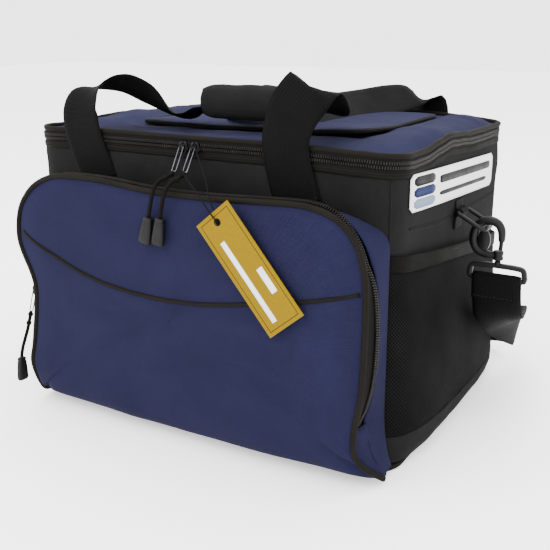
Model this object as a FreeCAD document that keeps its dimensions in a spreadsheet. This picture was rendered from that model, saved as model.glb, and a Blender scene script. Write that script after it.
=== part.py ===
"""Insulated cooler bag with a zipped lid, access flap, drop-front pocket, handles and shoulder strap.

Millimetres. The origin is the middle of the underside, +X to the right, -Y to the front, +Z up.
"""
import FreeCAD, Part
import math
import os
import re
import Sketcher
from FreeCAD import Placement, Rotation, Vector

DIMENSIONS = {
    # overall body
    "body_width": 390, "body_depth": 312, "body_corner": 28, "shell_top": 272, "lid_top": 285,
    "fabric": 1.2, "foam": 5, "liner": 0.6, "board": 4, "piping": 2.6,
    # lid
    "lid_floor": 273, "lid_foam_top": 283.6, "tape": 1.0, "teeth": 2.0, "teeth_rise": 1.4,
    "lid_axis_high": 281.5, "access_width": 200, "access_depth": 155, "access_shift": 22,
    # quick access flap
    "flap_width": 251, "flap_depth": 201, "flap_mid_x": 6, "flap_mid_y": 17.5, "flap_floor": 286.8,
    "flap_thick": 4.5, "flap_binding": 2, "velcro": 0.8, "velcro_width": 120, "velcro_depth": 16,
    # front pocket
    "pocket_width": 370, "pocket_low": 12, "pocket_high": 246, "pocket_top_corner": 56,
    "pocket_low_corner": 26, "pocket_fold": 58, "pocket_gusset": 22, "pocket_tape": 6,
    "pocket_depth": 38, "panel": 3.5, "panel_piping": 2.5, "swoop": 1.8,
    # side pockets
    "side_chord": 264, "side_bulge": 13, "mesh": 1.0, "hem": 1.8, "side_low": 8,
    "side_floor": 28, "mesh_high": 176, "hem_high": 189, "label_thick": 0.6,
    # handles and shoulder strap
    "webbing": 45, "webbing_thick": 1.8, "grip_height": 30, "grip_depth": 28,
    "strap_width": 48, "strap_thick": 2, "strap_axis_high": 213, "strap_out": 238.5,
    "barrel_middle": 173, "barrel_wire": 5, "barrel_tall": 9, "eye_width": 56, "eye_leg": 3,
    "eye_low": 148, "tab_width": 20,
    # small hardware
    "ring_wire": 2, "hook_wire": 2.8, "pull_cord": 1.8, "pull_wire": 0.6, "tag_string": 0.6,
    "slider_long": 9.6, "slider_tall": 9.6, "slider_thick": 2.4, "slider_gap": 1.15,
    "bridge_long": 2, "bridge_rise": 4.4, "bridge_tall": 9, "zip_middle": 280.5,
    "pull_wire_half": 2.2, "pull_wire_bend": 0.9, "pull_end_long": 25, "pull_end_half": 2.8,
    "tag_width": 41, "tag_above": 9, "tag_below": 105, "tag_thick": 0.8,
}
PIECES = {}

doc = FreeCAD.newDocument("CoolerBag")
sheet = doc.addObject("Spreadsheet::Sheet", "Sizes")
for row, (alias, number) in enumerate(DIMENSIONS.items(), start=1):
    sheet.set("A%d" % row, alias)
    sheet.set("B%d" % row, str(number))
    sheet.setAlias("B%d" % row, alias)
doc.recompute()


def bound(text):
    """An expression in the sheet's aliases, as FreeCAD reads it."""
    return re.sub(r"\b([a-z][a-z_]+)\b", r"Sizes.\1", str(text))


def size(text):
    """The present value of an expression in the sheet's aliases."""
    found = sheet.evalExpression(bound(text))
    return float(getattr(found, "Value", found))


def keep(piece, name):
    """Register a finished sub-part under its node name."""
    piece.Label = name
    PIECES[name] = piece
    return piece


def put(piece, x=0, y=0, z=0):
    """Bind a sub-part's place to expressions in the sheet's aliases."""
    for letter, text in zip("xyz", (x, y, z)):
        piece.setExpression("Placement.Base." + letter, bound(text))
    return piece


# ---- sketches ----

def origin_plane(body, role):
    return next(f for f in body.Origin.OriginFeatures if f.Role == role)


def new_sketch(body, role, name):
    sketch = body.newObject("Sketcher::SketchObject", name)
    sketch.AttachmentSupport = [(origin_plane(body, role), "")]
    sketch.MapMode = "FlatFace"
    return sketch


def drive(sketch, constraint, text):
    sketch.setExpression("Constraints[%d]" % sketch.addConstraint(constraint), bound(text))


def rounded_outline(sketch, width, low, high, low_corner, top_corner):
    """A closed outline about the vertical axis, from low to high, with its own low and top corners."""
    w, a, b = size(width) / 2, size(low), size(high)
    r, s = size(low_corner), size(top_corner)
    turns = [((w - r, a + r), r, -90), ((w - s, b - s), s, 0),
             ((s - w, b - s), s, 90), ((r - w, a + r), r, 180)]
    ends = [((r - w, a), (w - r, a)), ((w, a + r), (w, b - s)),
            ((w - s, b), (s - w, b)), ((-w, b - s), (-w, a + r))]
    lines = [sketch.addGeometry(Part.LineSegment(Vector(*p, 0), Vector(*q, 0))) for p, q in ends]
    arcs = []
    for (x, y), radius, start in turns:
        circle = Part.Circle(Vector(x, y, 0), Vector(0, 0, 1), radius)
        first, last = math.radians(start), math.radians(start + 90)
        arcs.append(sketch.addGeometry(Part.ArcOfCircle(circle, first, last)))
    for k in range(4):
        sketch.addConstraint(Sketcher.Constraint("Tangent", lines[k], 2, arcs[k], 1))
        sketch.addConstraint(Sketcher.Constraint("Tangent", arcs[k], 2, lines[(k + 1) % 4], 1))
    sketch.addConstraint(Sketcher.Constraint("Horizontal", lines[2]))
    for k in (1, 3):
        sketch.addConstraint(Sketcher.Constraint("Vertical", lines[k]))
    sketch.addConstraint(Sketcher.Constraint("Equal", arcs[0], arcs[3]))
    sketch.addConstraint(Sketcher.Constraint("Equal", arcs[1], arcs[2]))
    sketch.addConstraint(Sketcher.Constraint("Symmetric", lines[0], 1, lines[0], 2, -2))
    drive(sketch, Sketcher.Constraint("Radius", arcs[0], r), low_corner)
    drive(sketch, Sketcher.Constraint("Radius", arcs[1], s), top_corner)
    drive(sketch, Sketcher.Constraint("DistanceX", lines[0], 1, lines[0], 2, 2 * (w - r)),
          "(%s) - 2 * (%s)" % (width, low_corner))
    drive(sketch, Sketcher.Constraint("DistanceY", lines[0], 1, lines[2], 1, b - a),
          "(%s) - (%s)" % (high, low))
    place = Sketcher.Constraint("DistanceY", lines[0], 1, -1, 1, -a)
    drive(sketch, place, "-(%s)" % low)


def prism(name, outlines, thick, role="XY_Plane"):
    """A body padded from one outline, or from an outline and the hole in it."""
    body = doc.addObject("PartDesign::Body", name)
    sketch = new_sketch(body, role, name + "_outline")
    for outline in outlines:
        rounded_outline(sketch, *outline)
    pad = body.newObject("PartDesign::Pad", name + "_pad")
    pad.Profile = sketch
    pad.setExpression("Length", bound(thick))
    sketch.Visibility = False
    return body


def footprint(inset, corner="body_corner"):
    """The body's outline in plan, moved in by an inset."""
    deep = "body_depth / 2 - (%s)" % inset
    return ("body_width - 2 * (%s)" % inset, "-(%s)" % deep, deep,
            "%s - (%s)" % (corner, inset), "%s - (%s)" % (corner, inset))


def pocket_outline(inset):
    """The front pocket's outline seen from the front, moved in by an inset."""
    return ("pocket_width - 2 * (%s)" % inset, "pocket_low + (%s)" % inset,
            "pocket_high - (%s)" % inset, "pocket_low_corner - (%s)" % inset,
            "pocket_top_corner - (%s)" % inset)


# ---- Part primitives and booleans ----

def block(name, corner, lengths):
    """A Part::Box by its lowest corner and its lengths, all expressions."""
    box = doc.addObject("Part::Box", name)
    for side, text in zip(("Length", "Width", "Height"), lengths):
        box.setExpression(side, bound(text))
    return put(box, *corner)


def drum(name, radius, long, middle, axis):
    """A Part::Cylinder about a line through its middle, along axis."""
    cylinder = doc.addObject("Part::Cylinder", name)
    cylinder.setExpression("Radius", bound(radius))
    cylinder.setExpression("Height", bound(long))
    turn = Rotation(Vector(0, 0, 1), axis)
    back = turn.multVec(Vector(0, 0, -size(long) / 2))
    cylinder.Placement = Placement(middle + back, turn)
    return cylinder


def cut(name, base, tool):
    result = doc.addObject("Part::Cut", name)
    result.Base = base
    result.Tool = tool
    return result


def group(name, members):
    result = doc.addObject("Part::Compound", name)
    result.Links = members
    return result


def common(name, members):
    result = doc.addObject("Part::MultiCommon", name)
    result.Shapes = members
    return result


def fuse(name, members):
    result = doc.addObject("Part::MultiFuse", name)
    result.Shapes = members
    return result


def mirrored(name, source):
    """The same piece on the other side of the bag."""
    result = doc.addObject("Part::Mirroring", name)
    result.Source = source
    result.Normal = Vector(1, 0, 0)
    result.Base = Vector(0, 0, 0)
    return result


def feature(name, shape):
    result = doc.addObject("Part::Feature", name)
    result.Shape = shape
    return result


# ---- tubes and webbing ----

def run_and_arc_wire(points, radii=None, closed=False):
    """Straight runs joined by tangent arcs, with each arc's radius and the route's length."""
    count = len(points)
    corners = range(count) if closed else range(1, count - 1)
    trimmed, used = {}, []
    for k in corners:
        before, here, after = points[k - 1], points[k], points[(k + 1) % count]
        into, out = (here - before), (after - here)
        half = into.getAngle(out) / 2
        shorter = min(into.Length, out.Length)
        radius = radii[k] if radii else 0.45 * shorter / math.tan(half)
        reach = radius * math.tan(half)
        into.normalize()
        out.normalize()
        first, last = here - into * reach, here + out * reach
        bisector = (out - into).normalize()
        middle = here + bisector * (radius / math.cos(half) - radius)
        trimmed[k] = (first, middle, last)
        used.append(radius)
    edges, at = [], points[0] if not closed else trimmed[count - 1][2]
    for k in corners:
        first, middle, last = trimmed[k]
        edges.append(Part.LineSegment(at, first).toShape())
        edges.append(Part.Arc(first, middle, last).toShape())
        at = last
    if not closed:
        edges.append(Part.LineSegment(at, points[-1]).toShape())
    return Part.Wire(edges), used


def tube(name, points, radius, radii=None, closed=False):
    """A round tube along runs and arcs. Its volume is checked against section times length."""
    path, used = run_and_arc_wire(points, radii, closed)
    start = path.Edges[0]
    away = start.tangentAt(start.FirstParameter)
    ring = Part.Wire(Part.makeCircle(radius, start.valueAt(start.FirstParameter), away))
    solid = path.makePipeShell([ring], True, False)
    expected = math.pi * radius ** 2 * path.Length
    print("%s: length %.0f, least radius %.1f, volume ratio %.4f"
          % (name, path.Length, min(used, default=0), solid.Volume / expected))
    return solid


def cord(name, route, radius):
    return feature(name, tube(name, [Vector(*p) for p in route], radius))


def webbing_sections(stations, width, thick):
    """The four corners of the webbing's section at each station."""
    middles = [Vector(*middle) for middle, _ in stations]
    sections = []
    for k, (middle, (_, across)) in enumerate(zip(middles, stations)):
        along = middles[min(k + 1, len(middles) - 1)] - middles[max(k - 1, 0)]
        side = Vector(*across).normalize()
        face = along.cross(side).normalize() * (thick / 2)
        side = face.cross(along).normalize() * (width / 2)
        sections.append([middle - side - face, middle + side - face, middle + side + face,
                         middle - side + face])
    return sections


def webbing_solid(stations, width, thick):
    """Flat webbing through stations, each a middle and the direction of its width, in flat facets."""
    sections = webbing_sections(stations, width, thick)
    facets = []
    for near, far in zip(sections, sections[1:]):
        for k in range(4):
            after = (k + 1) % 4
            facets.append((near[k], near[after], far[after]))
            facets.append((near[k], far[after], far[k]))
    for end in (sections[0], sections[-1]):
        facets.append((end[0], end[1], end[2]))
        facets.append((end[0], end[2], end[3]))
    skin = Part.makeCompound([Part.Face(Part.makePolygon(corners + corners[:1]))
                              for corners in facets])
    skin.sewShape()
    return Part.Solid(skin.Shells[0])


# ---- the insulated body ----

def build_body():
    keep(prism("base_panel", [footprint("fabric")], "board"), "base_panel")
    outer_shell = prism("outer_shell", [footprint("0"), footprint("fabric")], "shell_top")
    keep(outer_shell, "outer_shell")
    build_wall_foam()
    base_foam = prism("base_foam", [footprint("fabric + foam")], "foam")
    keep(put(base_foam, z="board"), "base_foam")
    build_liner()
    rim = prism("rim_binding", [footprint("fabric"), footprint("fabric + foam + liner")], "1")
    keep(put(rim, z="shell_top - 1"), "rim_binding")


def build_wall_foam():
    """Four foam panels, each a quarter of the wall's ring, cut apart at the corners' diagonals."""
    half_width, half_depth = size("body_width / 2"), size("body_depth / 2")
    inner = half_width - half_depth
    far = half_width + 20
    gap = 0.2
    right = [(inner + gap, 0), (far, far - inner - gap), (far, inner + gap - far)]
    rear = [(inner, gap), (far - gap, far - inner), (gap - far, far - inner), (-inner, gap)]
    pairs = {"side_foam": (right, [(-x, y) for x, y in right]),
             "front_and_rear_foam": (rear, [(x, -y) for x, y in rear])}
    for name, quarters in pairs.items():
        panels = []
        for k, corners in enumerate(quarters):
            ring = prism("%s_ring_%d" % (name, k), [footprint("fabric"), footprint("fabric + foam")],
                         "shell_top - 1 - board")
            put(ring, z="board")
            loop = [Vector(x, y, 0) for x, y in corners]
            wedge = Part.Face(Part.makePolygon(loop + loop[:1])).extrude(Vector(0, 0, 300))
            panels.append(common("%s_%d" % (name, k), [ring, feature("%s_wedge_%d" % (name, k), wedge)]))
        keep(group(name, panels), name)


def build_liner():
    """The wipe-clean liner: a thin tray as deep as the body."""
    inset = "fabric + foam"
    body = prism("inner_liner", [footprint(inset)], "shell_top - 1 - board - foam")
    doc.recompute()
    solid_before = body.Shape.Volume
    sketch = new_sketch(body, "XY_Plane", "liner_hollow")
    rounded_outline(sketch, *footprint("fabric + foam + liner"))
    sketch.setExpression("AttachmentOffset.Base.z", bound("liner"))
    hollow = body.newObject("PartDesign::Pocket", "liner_pocket")
    hollow.Profile = sketch
    hollow.Type = "ThroughAll"
    hollow.Reversed = True
    doc.recompute()
    if body.Shape.Volume > 0.2 * solid_before:
        raise RuntimeError("the liner is not hollow")
    keep(put(body, z="board + foam"), "inner_liner")


def round_loop(width, depth, corner, z):
    """The corners of a rounded loop in plan, with the radius at each corner."""
    w, d = width / 2, depth / 2
    points = [Vector(x, y, z) for x, y in ((w, -d), (w, d), (-w, d), (-w, -d))]
    return points, [corner] * 4


def edge_piping(name, out, radius, z):
    """Piping round the whole body, its centre line moved out from the body's outline."""
    points, radii = round_loop(size("body_width") + 2 * out, size("body_depth") + 2 * out,
                               size("body_corner") + out, z)
    return feature(name, tube(name, points, radius, radii, closed=True))


# ---- lid ----

def without_rear(name, ring, z, rise):
    """An open band: a ring with its rear side taken off, where the lid's hinge is."""
    rear = block(name + "_rear", ("-body_width", "body_depth / 2 - body_corner", z),
                 ("2 * body_width", "2 * body_corner", rise))
    return keep(cut(name, ring, rear), name)


def zip_band(name, outer, inner, z, rise):
    ring = prism(name + "_ring", [footprint(outer), footprint(inner)], rise)
    return without_rear(name, put(ring, z=z), z, rise)


def access_hole():
    half = "access_depth / 2"
    return ("access_width", "access_shift - " + half, "access_shift + " + half, "12", "12")


def build_lid():
    zip_band("body_zip_tape", "0", "tape", "shell_top", "7")
    zip_band("body_zip_teeth", "-0.8", "tape + 0.2", "shell_top + 7", "teeth_rise")
    zip_band("lid_zip_teeth", "-0.8", "tape + 0.2", "lid_top - 3 - teeth_rise", "teeth_rise")
    ring = prism("lid_zip_tape", [footprint("0"), footprint("tape")], "3")
    keep(put(ring, z="lid_top - 3"), "lid_zip_tape")
    hinge = block("lid_hinge_tape", ("-155", "body_depth / 2", "shell_top - 8"),
                  ("310", "tape", "lid_axis_high - shell_top + 8"))
    keep(hinge, "lid_hinge_tape")
    top = prism("lid_panel", [footprint("tape"), access_hole()], "lid_top - lid_foam_top")
    keep(put(top, z="lid_foam_top"), "lid_panel")
    foam = prism("lid_foam", [footprint("2.4"), access_hole()], "lid_foam_top - lid_floor - liner")
    keep(put(foam, z="lid_floor + liner"), "lid_foam")
    liner = prism("lid_liner", [footprint("2.4"), access_hole()], "liner")
    keep(put(liner, z="lid_floor"), "lid_liner")
    binding = edge_piping("lid_binding", -1, size("piping"), size("lid_top + piping + 0.05"))
    keep(binding, "lid_binding")


def velcro_strip(name, z):
    strip = block(name, ("flap_mid_x - velcro_width / 2", "flap_mid_y - flap_depth / 2 + 4", z),
                  ("velcro_width", "velcro_depth", "velcro"))
    return keep(strip, name)


def build_access_flap():
    half = "flap_depth / 2"
    outline = ("flap_width", "-" + half, half, "14", "14")
    flap = prism("access_flap", [outline], "flap_thick")
    keep(put(flap, "flap_mid_x", "flap_mid_y", "flap_floor"), "access_flap")
    velcro_strip("lid_velcro_loop", "lid_top")
    velcro_strip("flap_velcro_hook", "flap_floor - velcro")
    radius = size("flap_binding")
    out = radius + 0.05
    x, y = size("flap_mid_x"), size("flap_mid_y")
    w, d = size("flap_width") / 2 + out, size("flap_depth") / 2
    z = size("flap_floor + flap_thick / 2")
    rear = y + d - 16
    points = [Vector(x + w, rear, z), Vector(x + w, y - d - out, z),
              Vector(x - w, y - d - out, z), Vector(x - w, rear, z)]
    radii = [None, 14 + out, 14 + out, None]
    keep(feature("access_flap_binding", tube("access_flap_binding", points, radius, radii)),
         "access_flap_binding")


# ---- front pocket ----

def pocket_slab(name, outlines, near, deep):
    """A slice of the pocket's outline, from near to near + deep in front of the body."""
    slab = prism(name + "_slab", outlines, deep, "XZ_Plane")
    return put(slab, y="-body_depth / 2 - (%s)" % near)


def half_space(name, upper):
    """A box that takes away what is above, or below, the line where the pocket's front folds."""
    z, rise = ("pocket_fold", "400") if upper else ("pocket_fold + 0.3 - 400", "400")
    return block(name, ("-body_width", "-body_depth", z), ("2 * body_width", "body_depth", rise))


def pocket_piece(name, outlines, near, deep, moving):
    slab = pocket_slab(name, outlines, near, deep)
    return keep(cut(name, slab, half_space(name + "_off", upper=not moving)), name)


def pocket_band(inset, thick):
    return [pocket_outline(inset), pocket_outline("%s + %s" % (inset, thick))]


def build_pocket():
    band = pocket_band("0", "fabric")
    rear_band = pocket_slab("gusset_rear", band, "0", "pocket_gusset")
    low_band = pocket_slab("gusset_low", band, "pocket_gusset", "pocket_depth - pocket_gusset")
    low_cut = cut("gusset_low_cut", low_band, half_space("gusset_off", upper=True))
    keep(fuse("pocket_gusset", [rear_band, low_cut]), "pocket_gusset")
    teeth = pocket_band("-0.8", "teeth")
    near = "pocket_gusset + pocket_tape"
    rest = "pocket_depth - (%s) - 2 * teeth_rise - 0.2" % near
    pocket_piece("pocket_outer_tape", pocket_band("0", "tape"), "pocket_gusset", "pocket_tape", True)
    pocket_piece("pocket_outer_teeth", teeth, near, "teeth_rise", True)
    pocket_piece("pocket_inner_teeth", teeth, near + " + teeth_rise + 0.2", "teeth_rise", True)
    pocket_piece("pocket_inner_tape", pocket_band("0", "tape"),
                 near + " + 2 * teeth_rise + 0.2", rest, True)
    pocket_piece("pocket_panel", [pocket_outline("0")], "pocket_depth", "panel", True)
    pocket_piece("pocket_lower_panel", [pocket_outline("0")], "pocket_depth", "panel", False)
    build_pocket_piping()
    build_swoop()


def build_pocket_piping():
    """Piping round the front panel's edge, in an upper part that opens and a lower part that stays."""
    radius = size("panel_piping")
    out = radius + 0.05
    w = size("pocket_width / 2") + out
    y = -size("body_depth / 2 + pocket_depth + panel / 2")
    top, low, fold = size("pocket_high") + out, size("pocket_low") - out, size("pocket_fold")
    loops = {"pocket_piping": (fold + 0.3, top, size("pocket_top_corner")),
             "pocket_lower_piping": (fold, low, size("pocket_low_corner"))}
    made = []
    for name, (near, far, corner) in loops.items():
        points = [Vector(w, y, near), Vector(w, y, far), Vector(-w, y, far), Vector(-w, y, near)]
        radii = [None, corner + out, corner + out, None]
        made.append(feature(name, tube(name, points, radius, radii)))
    upper, lower = made
    keep(upper, "pocket_piping")
    base = edge_piping("base_piping", size("piping") + 0.05, size("piping"), size("piping + 0.2"))
    keep(group("lower_edge_piping", [base, lower]), "lower_edge_piping")


def build_swoop():
    """The curved piping across the front panel, an arc between the two side edges."""
    y = -size("body_depth / 2 + pocket_depth + panel + swoop + 0.05")
    w = size("pocket_width / 2") - 1
    left, low, right = Vector(-w, y, 188), Vector(-24, y, 146), Vector(w, y, 181)
    path = Part.Wire(Part.Arc(left, low, right).toShape())
    start = path.Edges[0]
    ring = Part.Wire(Part.makeCircle(size("swoop"), left, start.tangentAt(start.FirstParameter)))
    keep(feature("pocket_curved_piping", path.makePipeShell([ring], True, False)),
         "pocket_curved_piping")


# ---- side pockets ----

def side_arc(out, thick, z, rise):
    """A bowed strip, or with no thickness given a D-shaped floor, on the right side."""
    reach, bulge = size("side_chord") / 2, size("side_bulge") + out
    x = size("body_width / 2") + 0.2
    outer = Part.Arc(Vector(x, -reach, z), Vector(x + bulge, 0, z), Vector(x, reach, z))
    if not thick:
        loop = [outer.toShape(), Part.LineSegment(Vector(x, reach, z), Vector(x, -reach, z)).toShape()]
        return Part.Face(Part.Wire(loop)).extrude(Vector(0, 0, rise))
    near = reach - thick * 3
    inner = Part.Arc(Vector(x, near, z), Vector(x + bulge - thick, 0, z), Vector(x, -near, z))
    loop = [outer.toShape(), Part.LineSegment(Vector(x, reach, z), Vector(x, near, z)).toShape(),
            inner.toShape(), Part.LineSegment(Vector(x, -near, z), Vector(x, -reach, z)).toShape()]
    return Part.Face(Part.Wire(loop)).extrude(Vector(0, 0, rise))


def both_sides(name, right):
    keep(group(name, [right, mirrored(name + "_left", right)]), name)


def build_side_pockets():
    low, floor = size("side_low"), size("side_floor")
    mesh_high, hem_high = size("mesh_high"), size("hem_high")
    both_sides("side_pocket_bases", feature("base_right", side_arc(0, 0, low, floor - low)))
    both_sides("side_mesh_pockets",
               feature("mesh_right", side_arc(0, size("mesh"), floor, mesh_high - floor)))
    both_sides("side_pocket_hems",
               feature("hem_right", side_arc(0.6, size("hem"), mesh_high, hem_high - mesh_high)))


LABEL_CORNERS = [(-130, 235), (102, 221), (102, 255), (-130, 267)]


def build_label():
    """A flat woven label sewn on the right side, its lower edge falling towards the rear."""
    x = size("body_width / 2")
    loop = [Vector(x, y, z) for y, z in LABEL_CORNERS]
    face = Part.Face(Part.makePolygon(loop + loop[:1]))
    keep(feature("side_label", face.extrude(Vector(size("label_thick"), 0, 0))), "side_label")


# ---- zip sliders and their pulls ----

def lid_slider(name, x):
    """A lid slider: a plate in front of the teeth and a loop on it that holds the pull."""
    front = "-body_depth / 2 - slider_gap"
    plate = block(name + "_plate", ("%g - slider_long / 2" % x, front + " - slider_thick",
                                    "zip_middle - slider_tall / 2"),
                  ("slider_long", "slider_thick", "slider_tall"))
    bridge = block(name + "_bridge", ("%g - bridge_long / 2" % x, front + " - slider_thick - bridge_rise",
                                      "zip_middle - bridge_tall / 2"),
                   ("bridge_long", "bridge_rise", "bridge_tall"))
    opening = block(name + "_opening", ("%g - bridge_long" % x, front + " - slider_thick - bridge_rise + 1",
                                        "zip_middle - bridge_tall / 2 + 1.2"),
                    ("2 * bridge_long", "bridge_rise - 1.6", "bridge_tall - 2.4"))
    return keep(fuse(name, [plate, cut(name + "_loop", bridge, opening)]), name)


def pocket_zip_slider(name, z):
    """The pocket's slider, on its left side, with its loop facing outwards."""
    out = "-pocket_width / 2 - slider_gap"
    middle = "-body_depth / 2 - pocket_gusset - pocket_tape - teeth_rise - 0.1"
    plate = block(name + "_plate", (out + " - slider_thick", middle + " - slider_tall / 2",
                                    "%g - slider_long / 2" % z),
                  ("slider_thick", "slider_tall", "slider_long"))
    bridge = block(name + "_bridge", (out + " - slider_thick - bridge_rise", middle + " - bridge_long / 2",
                                      "%g - bridge_tall / 2" % z),
                   ("bridge_rise", "bridge_long", "bridge_tall"))
    opening = block(name + "_opening", (out + " - slider_thick - bridge_rise + 1", middle + " - bridge_long",
                                        "%g - bridge_tall / 2 + 1.2" % z),
                    ("bridge_rise - 1.6", "2 * bridge_long", "bridge_tall - 2.4"))
    return keep(fuse(name, [plate, cut(name + "_loop", bridge, opening)]), name)


def pull_wire(name, top, low, across):
    """A flat loop of wire that hangs from a slider, its two long sides joined by short ends."""
    top, low = Vector(*top), Vector(*low)
    hang = (low - top).normalize()
    side = Vector(*across)
    side = (side - hang * side.dot(hang)).normalize() * size("pull_wire_half")
    corners = [top - side, top + side, low + side, low - side]
    bends = [size("pull_wire_bend")] * 4
    return keep(feature(name, tube(name, corners, size("pull_wire"), bends, closed=True)), name)


def pull_end(name, top, lean):
    """A moulded rubber pull end: a tapered lozenge that hangs from the cord."""
    length, deep = size("pull_end_long"), size("pull_end_half")
    sections = []
    for share, across in ((0, 3.6), (0.12, 4.6), (0.85, 6.2), (1, 5.2)):
        z = -length * share
        loop = [Vector(s * across, t * deep, z) for s, t in ((-1, -1), (1, -1), (1, 1), (-1, 1))]
        sections.append(Part.makePolygon(loop + loop[:1]))
    end = feature(name, Part.makeLoft(sections, True, True))
    lean = Vector(*lean).normalize()
    end.Placement = Placement(Vector(*top) + lean * 0.7, Rotation(Vector(0, 0, -1), lean))
    return keep(end, name)


LEFT_PULL_X = -12.2
RIGHT_PULL_X = 0.7
POCKET_PULL_Z = 124
WIRE_TOP_Y = -161.6
LEFT_WIRE_LOW = (-8, -180, 261.5)
RIGHT_WIRE_LOW = (4, -180, 261.5)
POCKET_WIRE_TOP = (-190.4, -185.5, 124)
POCKET_WIRE_LOW = (-196.5, -187.5, 99.5)
LEFT_PULL_ROUTE = [(-7.9, -180.8, 260.7), (-9.6, -189, 256.8), (-10.7, -196.7, 256.4), (-11.6, -203.6, 252),
                   (-13.4, -206.2, 243), (-15.6, -206.4, 233), (-17.6, -206.4, 224.5)]
RIGHT_PULL_ROUTE = [(4.1, -180.6, 260.8), (3.5, -189, 256.9), (3.1, -196.8, 256.5), (1.6, -203.7, 252.2),
                    (-0.9, -206.3, 243.2), (-3.2, -206.4, 233.4), (-4.9, -206.4, 224.9)]
POCKET_PULL_ROUTE = [(-196.8, -187.7, 98.7), (-198.2, -189.6, 90), (-199, -192.6, 80), (-200.6, -196.4, 69.5),
                     (-202.4, -199.4, 60), (-203, -200.9, 51.5)]
TAG_STRING_ROUTE = [(-1.4, -161.4, 283), (-4.4, -163.6, 280), (-5.6, -168.8, 273), (-2.6, -176.4, 267.4),
                    (4.9, -184.9, 263.8), (17.4, -194, 257.2), (30.2, -202.6, 252.6), (43, -208.4, 243),
                    (52.6, -210.2, 233.6), (57, -209.6, 229), (58, -206.4, 228.8), (54.6, -205.2, 234),
                    (48.2, -205, 242), (44.2, -202.8, 251.4), (36.6, -193.6, 258.4), (22.4, -179, 266),
                    (9.4, -167.4, 275), (5, -163.4, 281), (2.8, -161.4, 283)]
TAG_HOLE = (56.8, -208, 228.2)
TAG_LEAN = -39.3


def build_sliders():
    pulls = {"left": (LEFT_PULL_X, LEFT_WIRE_LOW, LEFT_PULL_ROUTE, (-0.25, 0, -1)),
             "right": (RIGHT_PULL_X, RIGHT_WIRE_LOW, RIGHT_PULL_ROUTE, (-0.16, 0, -1))}
    for side, (x, low, route, lean) in pulls.items():
        lid_slider("lid_slider_" + side, x)
        pull_wire("lid_pull_%s_wire" % side, (x, WIRE_TOP_Y, size("zip_middle")), low, (1, 0, 0))
        keep(cord("lid_pull_%s_cord" % side, route, size("pull_cord")), "lid_pull_%s_cord" % side)
        pull_end("lid_pull_%s_end" % side, route[-1], lean)
    pocket_zip_slider("pocket_slider", POCKET_PULL_Z)
    pull_wire("pocket_pull_wire", POCKET_WIRE_TOP, POCKET_WIRE_LOW, (0, 1, 0))
    keep(cord("pocket_pull_cord", POCKET_PULL_ROUTE, size("pull_cord")), "pocket_pull_cord")
    pull_end("pocket_pull_end", POCKET_PULL_ROUTE[-1], (0, -0.04, -1))


def build_tag():
    keep(cord("tag_string", TAG_STRING_ROUTE, size("tag_string")), "tag_string")
    tag = block("hang_tag_card", ("-tag_width / 2", "-tag_thick / 2", "-tag_below"),
                ("tag_width", "tag_thick", "tag_below + tag_above"))
    hole = drum("hang_tag_hole", "2.8", "4", Vector(0, 0, 0), Vector(0, 1, 0))
    card = cut("hang_tag", tag, hole)
    card.Placement = Placement(Vector(*TAG_HOLE), Rotation(Vector(0, 1, 0), TAG_LEAN))
    keep(card, "hang_tag")


# ---- handles ----

FRONT_LEFT = [((-133, -159, 247), (1, 0, 0)), ((-133, -159, 296), (1, 0, 0)),
              ((-129, -159, 311), (1, 0, 0.1)), ((-122, -157.4, 322), (0.98, -0.1, 0.2)),
              ((-119, -150, 330), (0.76, -0.49, 0.43)), ((-113, -142, 327), (0.56, -0.1, 0.83)),
              ((-88, -126, 317), (0.45, -0.5, 0.75)), ((-56, -106, 310), (0.2, -0.85, 0.5)),
              ((-34, -98, 312), (0, -1, 0.25)), ((-28.3, -98, 312), (0, -1, 0.25))]
FRONT_RIGHT = [((92.3, -98, 314), (0, -1, 0.2)), ((98, -98, 314), (0, -1, 0.2)),
               ((112, -101, 315), (-0.1, -0.85, 0.5)),
               ((128, -117, 323), (-0.6, -0.45, 0.7)), ((127, -142, 337), (-0.6, -0.2, 0.8)),
               ((121, -150, 341), (-0.8, -0.49, 0.4)), ((117, -158, 333), (-0.95, 0, 0.25)),
               ((105, -159, 318), (-0.93, 0, 0.3)), ((95, -159, 300), (-0.99, 0, 0.15)),
               ((93, -159, 285), (-1, 0, 0)), ((93, -159, 247), (-1, 0, 0))]
REAR_RIGHT = [((106, 159, 232), (-1, 0, 0)), ((106, 159, 290), (-1, 0, 0)),
              ((101, 157.6, 306), (-0.95, 0, 0.25)), ((91, 148, 316), (-0.8, 0.4, 0.45)),
              ((78, 128, 314), (-0.75, 0.35, 0.6)), ((64, 88, 309), (-0.77, 0.2, 0.62)),
              ((55, 34, 308), (-0.77, 0.1, 0.64)), ((48, -16, 309), (-0.7, 0.3, 0.64)),
              ((34, -48, 311), (-0.4, 0.66, 0.64)), ((8, -62, 312), (0, 0.77, 0.64))]
REAR_MIDDLE_X = 8


def mirror_stations(stations, middle_x):
    """The second half of a symmetric strip: the mirror image of its first half, in reverse."""
    return [((2 * middle_x - x, y, z), (-a, b, c))
            for (x, y, z), (a, b, c) in reversed(stations) if x != middle_x]


def build_handles():
    width, thick = size("webbing"), size("webbing_thick")
    sides = [feature("front_left_webbing", webbing_solid(FRONT_LEFT, width, thick)),
             feature("front_right_webbing", webbing_solid(FRONT_RIGHT, width, thick))]
    keep(group("front_handle", sides), "front_handle")
    rear = REAR_RIGHT + mirror_stations(REAR_RIGHT, REAR_MIDDLE_X)
    keep(feature("rear_handle", webbing_solid(rear, width, thick)), "rear_handle")
    build_grip()


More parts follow.
